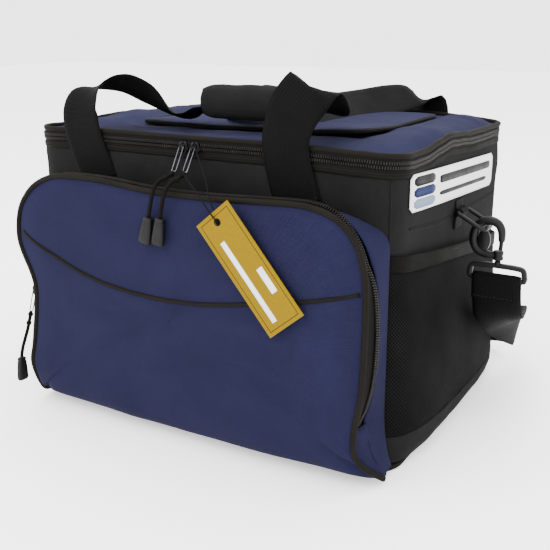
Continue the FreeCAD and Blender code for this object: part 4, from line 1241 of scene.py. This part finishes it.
def build_pocket_zip(piping, zipped):
    """Tapes and coils of the pocket's zip: the outer half on the body, the inner half on the front."""
    piping, zipped = above_fold(piping, zipped)
    teeth = curved([tuple(p) for p in zipped], 3.0)
    rear = [z + Vector((0, 5.6, 0)) for z in zipped]
    near = [z + Vector((0, 1.6, 0)) for z in zipped]
    front = [z + (p - z) * 0.14 for z, p in zip(zipped, piping)]
    edge = [z + (p - z) * 0.92 for z, p in zip(zipped, piping)]
    link(tape_band("pocket_zip_outer_band", rear, near, 4, 0.6), "root", ["pocket_outer_tape"])
    link(tape_band("pocket_zip_inner_band", front, edge, 6, 0.3), "pocket_front",
         ["pocket_inner_tape"])
    link(pocket_coil("outer", teeth, 1.9, 0.0), "root", ["pocket_outer_teeth"])
    link(pocket_coil("inner", teeth, -1.9, COIL_PITCH / 2), "pocket_front",
         ["pocket_inner_teeth"])


def build_pocket_piping(piping):
    """The piping round the pocket's front and the curved piping across it."""
    front = tube("pocket_front_binding", [p + outward(p, 0) * 0.9 for p in piping], 2.7, "binding")
    link(front, None, ["pocket_piping"])
    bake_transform(front)
    line = []
    for p in curved([(x, 0, z) for x, z in SWOOP])[1:]:
        inward = max(2.0, min(p.x + 190, 184 - p.x))
        line.append(Vector((p.x, panel_face(p.x, p.z, inward) + 0.2, p.z)))
    swoop = tube("pocket_swoop", line, 2.0, "binding", 10)
    link(swoop, "pocket_front", ["pocket_curved_piping"])
    build_base_piping()


def build_base_piping():
    """Piping round the base from the pocket's right by the rear to its left."""
    base = inset_loop(-1.8, (70, 56, 10))
    first = next(k for k, p in enumerate(base) if p[1] < -150)
    last = max(k for k, p in enumerate(base) if p[1] < -150)
    rear = base[last:] + base[:first + 1]
    line = [Vector((x, y, 3.0)) for x, y, _, _ in rear]
    link(tube("base_edge_binding", line, 2.6, "binding", 12), "root", ["lower_edge_piping"])


# ---- side pockets ----

SIDE_REACH, SIDE_BULGE = 148.0, 18.0


def pocket_out(y):
    """How far the bowed side pocket stands out from the body's side."""
    share = min(1.0, abs(y) / SIDE_REACH)
    return 0.6 + SIDE_BULGE * (1 - share ** 4)


def side_x(y):
    """The body's outline beside a side pocket, rounding off towards the corners."""
    turn = max(0.0, abs(y) - HALF_Y + CORNER)
    return HALF_X - CORNER + math.sqrt(CORNER ** 2 - turn ** 2)


def hem_line(y):
    """The height of the side pocket's mouth, falling towards the rear."""
    return 174.0 - 0.138 * y


def base_line(y):
    """The height where the solid lower part gives way to the net."""
    return 28.0 + 4.0 * (1 - eased(y, -132, 60))


def net_point(side, y, share):
    low, high = base_line(y), hem_line(y) - 6.0
    z = low + (high - low) * share
    place = (side * 40, y, z)
    arch = math.sin(math.pi * share)
    sag = arch * (2.2 + 2.4 * wrinkle(place, 60, (1, 1, 0.5), 73) + 0.9 * wrinkle(place, 24, (1, 1, 0.5), 75))
    sag += 0.7 * (crease(place, 70, (1, 1.0, 0.5), 79) - 0.3) * arch
    hold = 1 - eased(abs(y), 120, SIDE_REACH)
    full = 1 - 0.62 * eased(share, 0.35, 1.0)
    out = pocket_out(y) * full + sag * hold
    return Vector((side * (side_x(y) + max(0.4, out)), y, z))


def doubled(rows, side, thick):
    """Rows of an outward face with a matching inner face, for a closed thin wall."""
    return [row + [p - Vector((side * thick, 0, 0)) for p in reversed(row)] for row in rows]


def base_row(side, y):
    """The solid lower part of a side pocket at one place along it."""
    row = []
    for j in range(9):
        z = 7.5 + (base_line(y) + 1.5 - 7.5) * j / 8
        out = pocket_out(y) * (0.62 + 0.38 * eased(z, 6, 20)) + 0.8 * wrinkle((0, y, z), 24, seed=83)
        row.append(Vector((side * (side_x(y) + max(0.6, out + 0.5)), y, z)))
    return row


# The folded binding of a side pocket's mouth: out and up from the net's top edge.
HEM_SECTION = [(-0.9, -1.0), (0.5, -1.2), (1.3, 0.0), (1.0, 3.0), (1.1, 9.0), (1.3, 12.0), (0.4, 13.2),
               (-0.9, 12.6)]


def hem_row(side, y):
    edge = net_point(side, y, 1.0)
    return [edge + Vector((side * out, 0, up)) for out, up in HEM_SECTION]


def build_side_pockets():
    """On each side the net, its solid lower part and the bound mouth."""
    nets, bases, hems = [], [], []
    ys = [-SIDE_REACH + 4.0 * k for k in range(75)]
    for side, name in ((1, "right"), (-1, "left")):
        rows = [[net_point(side, y, j / 30) for j in range(31)] for y in ys]
        nets.append(capped("net_" + name, doubled(rows, side, 0.8), "net"))
        rows = [base_row(side, y) for y in ys]
        bases.append(capped("net_base_" + name, doubled(rows, side, 1.6), "black"))
        hems.append(capped("hem_" + name, [hem_row(side, y) for y in ys], "hem"))
    link(joined("side_nets", nets), "root", ["side_mesh_pockets"])
    link(joined("side_net_bases", bases), "root", ["side_pocket_bases"])
    link(joined("side_net_hems", hems), "root", ["side_pocket_hems"])


# ---- side label ----

LABEL = {"front": -130.0, "rear": 102.0, "low": (235.0, 221.0), "high": (267.0, 255.0)}
LABEL_LONG, LABEL_TALL = LABEL["rear"] - LABEL["front"], 33.0


def on_label(u, v, lift):
    """A point on the label from shares of its length and height, following the padded side."""
    y = LABEL["front"] + LABEL_LONG * u
    low = LABEL["low"][0] + (LABEL["low"][1] - LABEL["low"][0]) * u
    high = LABEL["high"][0] + (LABEL["high"][1] - LABEL["high"][0]) * u
    z = low + (high - low) * v
    bulge = body_bulge(HALF_X, max(1 - FLAT_Y, min(FLAT_Y - 1, y)), 1, 0, z)
    turn = max(0.0, abs(y) - FLAT_Y)
    return Vector((HALF_X + bulge + 1.5 + lift - turn * turn / (2 * CORNER), y, z))


def label_plate(name, u0, u1, v0, v1, low, high, skin, corner):
    """A thin plate with rounded corners between two shares each way."""
    cells_u, cells_v = max(2, int((u1 - u0) * 40)), max(2, int((v1 - v0) * 10))
    rows = []
    for i in range(cells_u + 1):
        u = u0 + (u1 - u0) * i / cells_u
        into = min((u - u0), (u1 - u)) * LABEL_LONG
        cut = corner - math.sqrt(max(0.0, corner ** 2 - (corner - min(corner, into)) ** 2))
        a, b = v0 + cut / LABEL_TALL, v1 - cut / LABEL_TALL
        face = [on_label(u, a + (b - a) * j / cells_v, high) for j in range(cells_v + 1)]
        back = [on_label(u, a + (b - a) * j / cells_v, low) for j in range(cells_v, -1, -1)]
        rows.append(face + back)
    return capped(name, rows, skin)


def build_label():
    """The side label with plain bars for its print."""
    plates = [label_plate("label_plate", 0.0, 1.0, 0.0, 1.0, -0.4, 0.5, "white", 4.0)]
    bars = (("grey_ink", 0.67, 0.93), ("blue_ink", 0.37, 0.63), ("pale_ink", 0.07, 0.33))
    for k, (skin, low, high) in enumerate(bars):
        plates.append(label_plate("label_bar_%d" % k, 0.03, 0.235, low, high, 0.5, 0.65, skin, 2.4))
    for k, (low, high, end) in enumerate(((0.58, 0.80, 0.95), (0.24, 0.36, 0.90))):
        plates.append(label_plate("label_line_%d" % k, 0.285, end, low, high, 0.5, 0.62, "grey_ink", 1.0))
    link(joined("woven_side_label", plates), "root", ["side_label"])


# ---- carry handles ----

HANDLE_WIDTH, HANDLE_THICK = 45.0, 1.8
# Strips as (middle, direction of width) stations. The front handle is two strips that meet in the grip.
FRONT_LEFT = [((-113, -158.8, 238), (0.96, 0, 0.24)), ((-119, -159.2, 251), (0.97, 0, 0.2)),
              ((-128, -159.5, 274), (0.99, 0, 0.1)), ((-133, -160, 296), (1, 0, 0.03)),
              ((-132, -159, 311), (1, -0.05, 0.05)), ((-127, -155.5, 322), (0.97, -0.22, 0.05)),
              ((-121, -148, 330), (0.87, -0.45, 0.2)), ((-114, -136, 333), (0.72, -0.6, 0.35)),
              ((-104, -122, 331), (0.65, -0.6, 0.45)), ((-90, -109, 321), (0.6, -0.62, 0.5)),
              ((-73, -101, 308), (0.4, -0.8, 0.42)), ((-56, -99, 301), (0.1, -0.95, 0.25)),
              ((-42, -98, 305), (0, -1, 0)), ((-28, -98, 311), (0, -1, 0))]
FRONT_RIGHT = [((88, -98, 314), (0, -1, 0.2)), ((96, -98, 312), (-0.05, -1, 0.15)),
               ((103, -104, 311), (-0.25, -0.95, 0.1)), ((108, -117, 315), (-0.45, -0.86, 0.12)),
               ((111, -131, 324), (-0.62, -0.72, 0.2)), ((114, -144, 333), (-0.76, -0.55, 0.3)),
               ((114.5, -151, 335), (-0.82, -0.42, 0.36)), ((110, -156, 329), (-0.88, -0.36, 0.28)),
               ((103.5, -158.8, 319), (-0.94, -0.22, 0.14)), ((98, -160, 306), (-0.99, -0.05, 0.05)),
               ((95, -160.5, 288), (-1, 0, 0)), ((99, -159.4, 264), (-0.99, 0, -0.06)),
               ((106.5, -158.8, 238), (-0.98, 0, -0.12))]
# The front handle's ends below its hinge, which stay sewn to the body.
SEWN_LEFT = [((-107, -158.3, 226), (0.95, 0, 0.25)), ((-113, -158.6, 239), (0.96, 0, 0.24))]
SEWN_RIGHT = [((109, -158.3, 228), (0.98, 0, 0.12)), ((106.5, -158.6, 239), (0.98, 0, 0.12))]
REAR_RIGHT = [((106, 159, 232), (-1, 0, 0)), ((106, 159, 284), (-1, 0, 0)),
              ((101, 157.6, 298), (-0.95, 0, 0.25)), ((91, 148, 306), (-0.8, 0.4, 0.45)),
              ((78, 128, 305), (-0.75, 0.35, 0.6)), ((64, 88, 302), (-0.77, 0.2, 0.62)),
              ((55, 34, 301), (-0.77, 0.1, 0.64)), ((48, -16, 302), (-0.7, 0.3, 0.64)),
              ((34, -46, 310), (-0.4, 0.66, 0.64)), ((8, -60, 314), (0, 0.77, 0.64))]
REAR_MIDDLE_X = 8
# Where the handles' ends are sewn: name, place and the way the wall faces.
BOXES = [("fl", -111, -159.8, 236, -1), ("fr", 107, -159.8, 238, -1), ("rl", -90, 160.0, 243, 1),
         ("rr", 106, 160.0, 243, 1)]
BOX_HALF = (17.0, 9.0)


def mirror_stations(stations, middle_x):
    """The second half of a symmetric strip: the mirror image of its first half, in reverse."""
    return [((2 * middle_x - x, y, z), (-a, b, c))
            for (x, y, z), (a, b, c) in reversed(stations) if x != middle_x]


def box_stitch(name, x, y, z, out):
    """A sewn box with a cross where a handle's end is fixed."""
    wide, tall = BOX_HALF
    corners = [(x - wide, z - tall), (x + wide, z - tall), (x + wide, z + tall), (x - wide, z + tall)]
    runs = [(corners[k], corners[(k + 1) % 4]) for k in range(4)]
    runs += [(corners[0], corners[2]), (corners[1], corners[3])]
    rows = []
    for k, run in enumerate(runs):
        rows.append(stitches("%s_%d" % (name, k), [Vector((px, y, pz)) for px, pz in run], (0, out, 0)))
    return rows


def handle_strip(name, stations, spacing=3.0, crown=0.8):
    return ribbon(name, stations, HANDLE_WIDTH, HANDLE_THICK, spacing, crown=crown)


def build_handles():
    """Both webbing handles, the grip and the sewn ends."""
    left = handle_strip("front_handle_left", FRONT_LEFT)
    right = handle_strip("front_handle_right", FRONT_RIGHT, crown=-0.8)
    front = joined("front_carry_handle", [left, right])
    link(front, "front_handle", ["front_handle"])
    rear_line = REAR_RIGHT + mirror_stations(REAR_RIGHT, REAR_MIDDLE_X)
    rear = handle_strip("rear_carry_handle", rear_line, spacing=4.0)
    link(rear, "rear_handle", ["rear_handle"])
    grip = build_grip()
    for piece in (front, grip):
        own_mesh(piece)
    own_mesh(rear)
    patches = [handle_strip("sewn_end_left", SEWN_LEFT), handle_strip("sewn_end_right", SEWN_RIGHT)]
    for name, x, y, z, out in BOXES:
        patches += box_stitch("box_" + name, x, y + 0.1 * out, z, out)
    link(joined("handle_stitching", patches), "root")


SWELL_VOXEL, SWELL_LIMIT, SWELL_FRAMES = 4.0, 3.0, 20


def modified_mesh(piece):
    """The piece's mesh as its modifiers make it; the modifiers are then taken off."""
    graph = bpy.context.evaluated_depsgraph_get()
    mesh = bpy.data.meshes.new_from_object(piece.evaluated_get(graph))
    piece.modifiers.clear()
    return mesh


def swell(piece, pressure):
    """A short cloth simulation under pressure, with each point's move held to a limit."""
    scene = bpy.context.scene
    sim = piece.modifiers.new("cloth", "CLOTH")
    sim.settings.use_pressure = True
    sim.settings.uniform_pressure_force = pressure
    sim.settings.effector_weights.gravity = 0
    sim.settings.quality = 6
    sim.point_cache.frame_start, sim.point_cache.frame_end = 1, SWELL_FRAMES
    for step in range(1, SWELL_FRAMES + 1):
        scene.frame_set(step)
    swollen = modified_mesh(piece)
    limit = SWELL_LIMIT * MM
    for vertex, moved in zip(piece.data.vertices, swollen.vertices):
        move = moved.co - vertex.co
        if move.length > limit:
            move *= limit / move.length
        vertex.co += move
    scene.frame_set(1)


def inflated(piece, pressure):
    """Turn a linked piece into a soft cushion: even cells, swollen and made finer."""
    skin = piece.data.materials[0]
    remesh = piece.modifiers.new("even", "REMESH")
    remesh.mode, remesh.voxel_size = "VOXEL", SWELL_VOXEL * MM
    piece.data = modified_mesh(piece)
    swell(piece, pressure)
    finer = piece.modifiers.new("finer", "SUBSURF")
    finer.levels = finer.render_levels = 1
    mesh = modified_mesh(piece)
    piece.data = mesh
    mesh.polygons.foreach_set("use_smooth", [True] * len(mesh.polygons))
    mesh.materials.clear()
    mesh.materials.append(skin)


GRIP_START, GRIP_LONG, GRIP_MIDDLE = -28, 120, (-98, 316)


def build_grip():
    """The padded wrap round both webbings: soft, and narrowed at its ends."""
    y, z = GRIP_MIDDLE
    ring = [squared(a, 2.8) for a in turn_angles(28)]
    rows = []
    for k in range(31):
        t = k / 30
        x = GRIP_START + GRIP_LONG * t
        end = math.sin(math.pi * min(t, 1 - t) * 6) if min(t, 1 - t) < 1 / 12 else 1.0
        wave = 0.8 * wrinkle((x, 0, 0), 22, seed=91)
        wide, tall = 11.0 + 2.2 * end + wave * 0.5, 13.6 + 2.6 * end + wave
        rows.append([Vector((x, y + c * wide, z + 0.8 * wave + s * tall)) for c, s in ring])
    grip = capped("padded_grip", rows, "padding")
    bpy.context.scene.collection.objects.link(grip)
    inflated(grip, 3.0)
    link(grip, "front_handle", ["handle_grip"])
    return grip


# ---- shoulder strap ----

STRAP_WIDTH, STRAP_THICK, STRAP_OUT = 48.0, 2.0, 238.5
# The pad's half length, half height and corner radius, and its middle across and up.
PAD, PAD_PLACE = (104, 26, 18), (207.7, 33)
PAD_TOP, PAD_UNDERSIDE = (1.0, 0.97, 0.9, 0.8, 0.6, 0.4, 0.2, 0.02), (0.02, 0.5, 0.9, 1.0)
STRAP_RIGHT = [((238.5, 0, 147.7), (1, 0, 0)), ((238.5, 3, 134), (1, 0, 0)),
               ((237, 18, 108), (0.99, 0.05, 0.1)), ((234, 44, 90), (0.93, 0.1, 0.34)),
               ((232, 82, 76), (0.75, 0.15, 0.65)), ((231, 122, 62), (0.4, 0.2, 0.9)),
               ((223, 162, 46), (0.1, 0.1, 0.99)), ((198, 190, 36), (0, 0, 1)),
               ((158, 200, 28), (0, 0, 1)), ((110, 202, 28), (0, 0, 1))]


def strap_loop(sx):
    """The strap's end: up over the eye's bar and sewn back on itself."""
    x = STRAP_OUT * sx
    points = [(x, -2.2, 128), (x, -3.6, 140), (x, -4.0, 148), (x, -2.6, 152.8), (x, 0, 154.2),
              (x, 2.8, 152.6), (x, 3.4, 148), (x, 2.4, 141), (x, 3.2, 132)]
    return ribbon("strap_loop_%d" % sx, [(p, (1, 0, 0)) for p in points], 46.0, 1.7, 2.0)


def build_strap():
    """The shoulder strap in one run behind the body, with its pad and hardware."""
    line = STRAP_RIGHT + mirror_stations(STRAP_RIGHT, 0)
    members = [ribbon("strap_run", line, STRAP_WIDTH, STRAP_THICK, 4.0, crown=1.2)]
    for sx in (1, -1):
        members.append(strap_loop(sx))
        seam = [Vector((sx * STRAP_OUT - 20, -3.6, 131)), Vector((sx * STRAP_OUT + 20, -3.6, 131))]
        members.append(stitches("loop_seam_%d" % sx, seam, (0, -1, 0)))
    link(joined("long_strap", members), "shoulder_strap", ["shoulder_strap"])
    build_shoulder_pad()
    build_hardware()


def build_shoulder_pad():
    """A cushioned pad on the strap, with a bound edge."""
    y, z = PAD_PLACE
    ring = rounded_loop(*PAD, counts=(52, 8, 8))
    rows = []
    for side, shares in ((1, PAD_TOP), (-1, PAD_UNDERSIDE)):
        for share in shares:
            thick = 1.6 + 1.8 * (1 - share ** 6)
            rows.append([Vector((across * share, y + side * thick, z + up * share))
                         for across, up, _, _ in ring])
    pad = endless("strap_pad", rows, "padding")
    bpy.context.scene.collection.objects.link(pad)
    inflated(pad, 2.5)
    link(pad, "shoulder_strap", ["shoulder_pad"])
    outline = rounded_loop(*(size + 1 for size in PAD), counts=(52, 8, 8))
    line = [Vector((across, y, z + up)) for across, up, _, _ in outline]
    link(tube("strap_pad_binding", line, 2.4, "binding", 10, closed=True), "shoulder_strap")


def rounded_frame(name, line, half_wide, half_tall, skin):
    """A moulded closed bar of rounded rectangular section along an upright line."""
    line = [Vector(p) for p in line]
    rows = []
    for middle, way in zip(line, tangents(line, True)):
        deep = Vector((0, 1, 0))
        deep = (deep - way * deep.dot(way)).normalized()
        side = way.cross(deep)
        rows.append([middle + side * (c * half_wide) + deep * (s * half_tall)
                     for c, s in (squared(a, 4) for a in turn_angles(16, 0.5))])
    return endless(name, rows, skin)


# The right hook's claw, seen from the front, and the turned barrel and stem below it.
CLAW = [(240.9, 186.8), (240.8, 190), (240.2, 197), (237, 203), (230, 206), (222.5, 204.6), (216, 198),
        (213.6, 189), (215, 180.5), (220, 174.8), (228, 172.8), (236, 172.8)]
BARREL = [(4.6, 168.6), (5.0, 169.0), (5.0, 171.2), (4.4, 171.7), (4.4, 173.4), (5.0, 173.9), (5.0, 176.6),
          (4.4, 177.4), (2.4, 177.5)]
STEM = [(3.0, 162.0), (3.0, 166.6), (2.4, 167.4), (0.6, 167.8)]
GATE = [(240.2, 178.4), (240.5, 183), (240.7, 187.2)]
EYE_HALF = 26.3
# The eye's outline: in from its end and up, from the low end of one side over the top.
EYE_TURN = [(0, 150), (0, 155), (1.5, 160.6), (8, 162.2)]
EYE_TOP, EYE_BAR = 162.6, 149.8


def claw_radius(share):
    return 2.8 + 1.6 * max(0.0, math.sin(math.pi * share)) ** 0.6


def build_hook(sx):
    """A snap hook's claw, the plate that fills its back and the barrel that the eye turns in."""
    line = curved([(sx * x, 0, z) for x, z in CLAW], 2.0)
    claw = tube("claw_%d" % sx, line, claw_radius, "plastic", 14)
    rings = [[Vector((sx * (224 + 6.0 * share * math.cos(a)), deep, 186 + 10.5 * share * math.sin(a)))
              for a in turn_angles(24)] for deep, share in ((-2.4, 0.8), (-1.8, 1.0), (1.8, 1.0), (2.4, 0.8))]
    plate = capped("hook_plate_%d" % sx, rings, "plastic")
    return [claw, plate, turned("barrel_%d" % sx, BARREL, sx * STRAP_OUT, "plastic", 20)]


def build_eye(sx):
    """The frame that holds the strap, on a stem."""
    middle = sx * STRAP_OUT
    left = [(middle - EYE_HALF + into, 0, z) for into, z in EYE_TURN]
    right = [(middle + EYE_HALF - into, 0, z) for into, z in reversed(EYE_TURN)]
    bar = [(middle + across, 0, EYE_BAR) for across in (EYE_HALF - 8, 0, 8 - EYE_HALF)]
    line = curved(left + [(middle, 0, EYE_TOP)] + right + bar, 2.5, closed=True)
    return [rounded_frame("eye_%d" % sx, line, 2.4, 2.8, "plastic"),
            turned("eye_stem_%d" % sx, STEM, middle, "plastic", 16)]


def build_hardware():
    """Snap hooks, swivelling eyes and gates on both sides, moulded with rounded edges."""
    hooks, eyes = [], []
    for sx, side in ((1, "right"), (-1, "left")):
        hooks += build_hook(sx)
        eyes += build_eye(sx)
        line = curved([(sx * x, 0, z) for x, z in GATE], 1.0)
        link(tube("spring_gate_" + side, line, 2.0, "metal", 10), "snap_gate_" + side,
             ["snap_gate_" + side])
    link(joined("strap_hooks", hooks), "shoulder_strap", ["snap_hooks"])
    link(joined("strap_eyes", eyes), "shoulder_strap", ["swivel_eyes"])
    build_tabs()


# A tab's run, out from the side and up: its tail, the loop round the ring and its sewn top.
TAB_LINE = [(0.6, 196), (1.0, 203), (2.2, 208.8), (6.5, 209.6), (8.2, 213), (6.0, 215.4), (1.8, 215.8),
            (0.7, 219), (0.6, 224)]


def build_tabs():
    """Webbing tabs sewn to the sides, each folded round its ring."""
    tabs = []
    for sx in (1, -1):
        x = HALF_X + 1.2
        stations = [((sx * (x + out), 0, z), (0, 1, 0)) for out, z in TAB_LINE]
        tabs.append(ribbon("tab_%d" % sx, stations, 22.0, 1.5, 1.5))
        for z in (199, 221):
            seam = [Vector((sx * (x + 1.8), -8, z)), Vector((sx * (x + 1.8), 8, z))]
            tabs.append(stitches("tab_seam_%d_%d" % (sx, z), seam, (sx, 0, 0)))
    link(joined("ring_tabs", tabs), "root", ["strap_tabs"])


# ---- CAD pieces whose shape is right ----

CARRIED = {"base_panel": "board", "front_and_rear_foam": "foam", "side_foam": "foam", "base_foam": "foam",
           "inner_liner": "liner", "rim_binding": "board", "lid_hinge_tape": "padding",
           "lid_liner": "liner", "lid_velcro_loop": "hook_tape", "flap_velcro_hook": "hook_tape",
           "strap_adjuster": "plastic", "d_rings": "plastic", "hang_tag": "gold"}


def dress_carried():
    for node, skin in CARRIED.items():
        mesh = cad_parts[node].data
        mesh.materials.clear()
        mesh.materials.append(SKINS[skin])


# ---- studio ----

FLOOR_REACH, SKY_STRENGTH = 6.0, 3.4
# Each light's name, place, target, size and power.
LIGHTS = [("key", (-0.9, -1.5, 1.7), (0, 0, 0.15), 1.4, 40), ("fill", (1.6, -1.0, 1.1), (0, 0, 0.15), 1.6, 9),
          ("top", (0.1, 0.3, 2.0), (0, 0, 0.2), 1.6, 36)]


def area_light(name, place, target, size, power):
    light = bpy.data.lights.new(name, "AREA")
    light.shape = "DISK"
    light.size, light.energy = size, power
    lamp = bpy.data.objects.new(name, light)
    bpy.context.scene.collection.objects.link(lamp)
    way = (Vector(target) - Vector(place)).to_track_quat("-Z", "Y")
    lamp.matrix_world = Matrix.Translation(Vector(place)) @ way.to_matrix().to_4x4()


def build_studio():
    """A pale floor under an even sky, with three soft lights."""
    mesh = bpy.data.meshes.new("floor")
    corners = [(x * FLOOR_REACH, y * FLOOR_REACH, 0) for x, y in ((-1, -1), (1, -1), (1, 1), (-1, 1))]
    mesh.from_pydata(corners, [], [(0, 1, 2, 3)])
    floor = bpy.data.objects.new("floor", mesh)
    bpy.context.scene.collection.objects.link(floor)
    graph = Graph("pale_floor", 0.9, Base_Color=(0.96, 0.96, 0.96, 1), Specular_IOR_Level=0.1,
                  Emission_Color=(1, 1, 1, 1), Emission_Strength=0.5)
    mesh.materials.append(graph.material)
    world = bpy.data.worlds.new("studio")
    world.use_nodes = True
    sky = world.node_tree.nodes["Background"]
    sky.inputs["Color"].default_value = (1, 1, 1, 1)
    sky.inputs["Strength"].default_value = SKY_STRENGTH
    bpy.context.scene.world = world
    for light in LIGHTS:
        area_light(*light)


build_camera()
build_pulls()
build_tag()
build_body()
build_lid_edge()
for slider, (slider_middle, slider_out) in SLIDERS.items():
    build_slider(slider, slider_middle, slider_out)
build_lid_top()
build_flap()
build_pocket()
build_side_pockets()
build_label()
build_handles()
build_strap()
dress_carried()
build_studio()
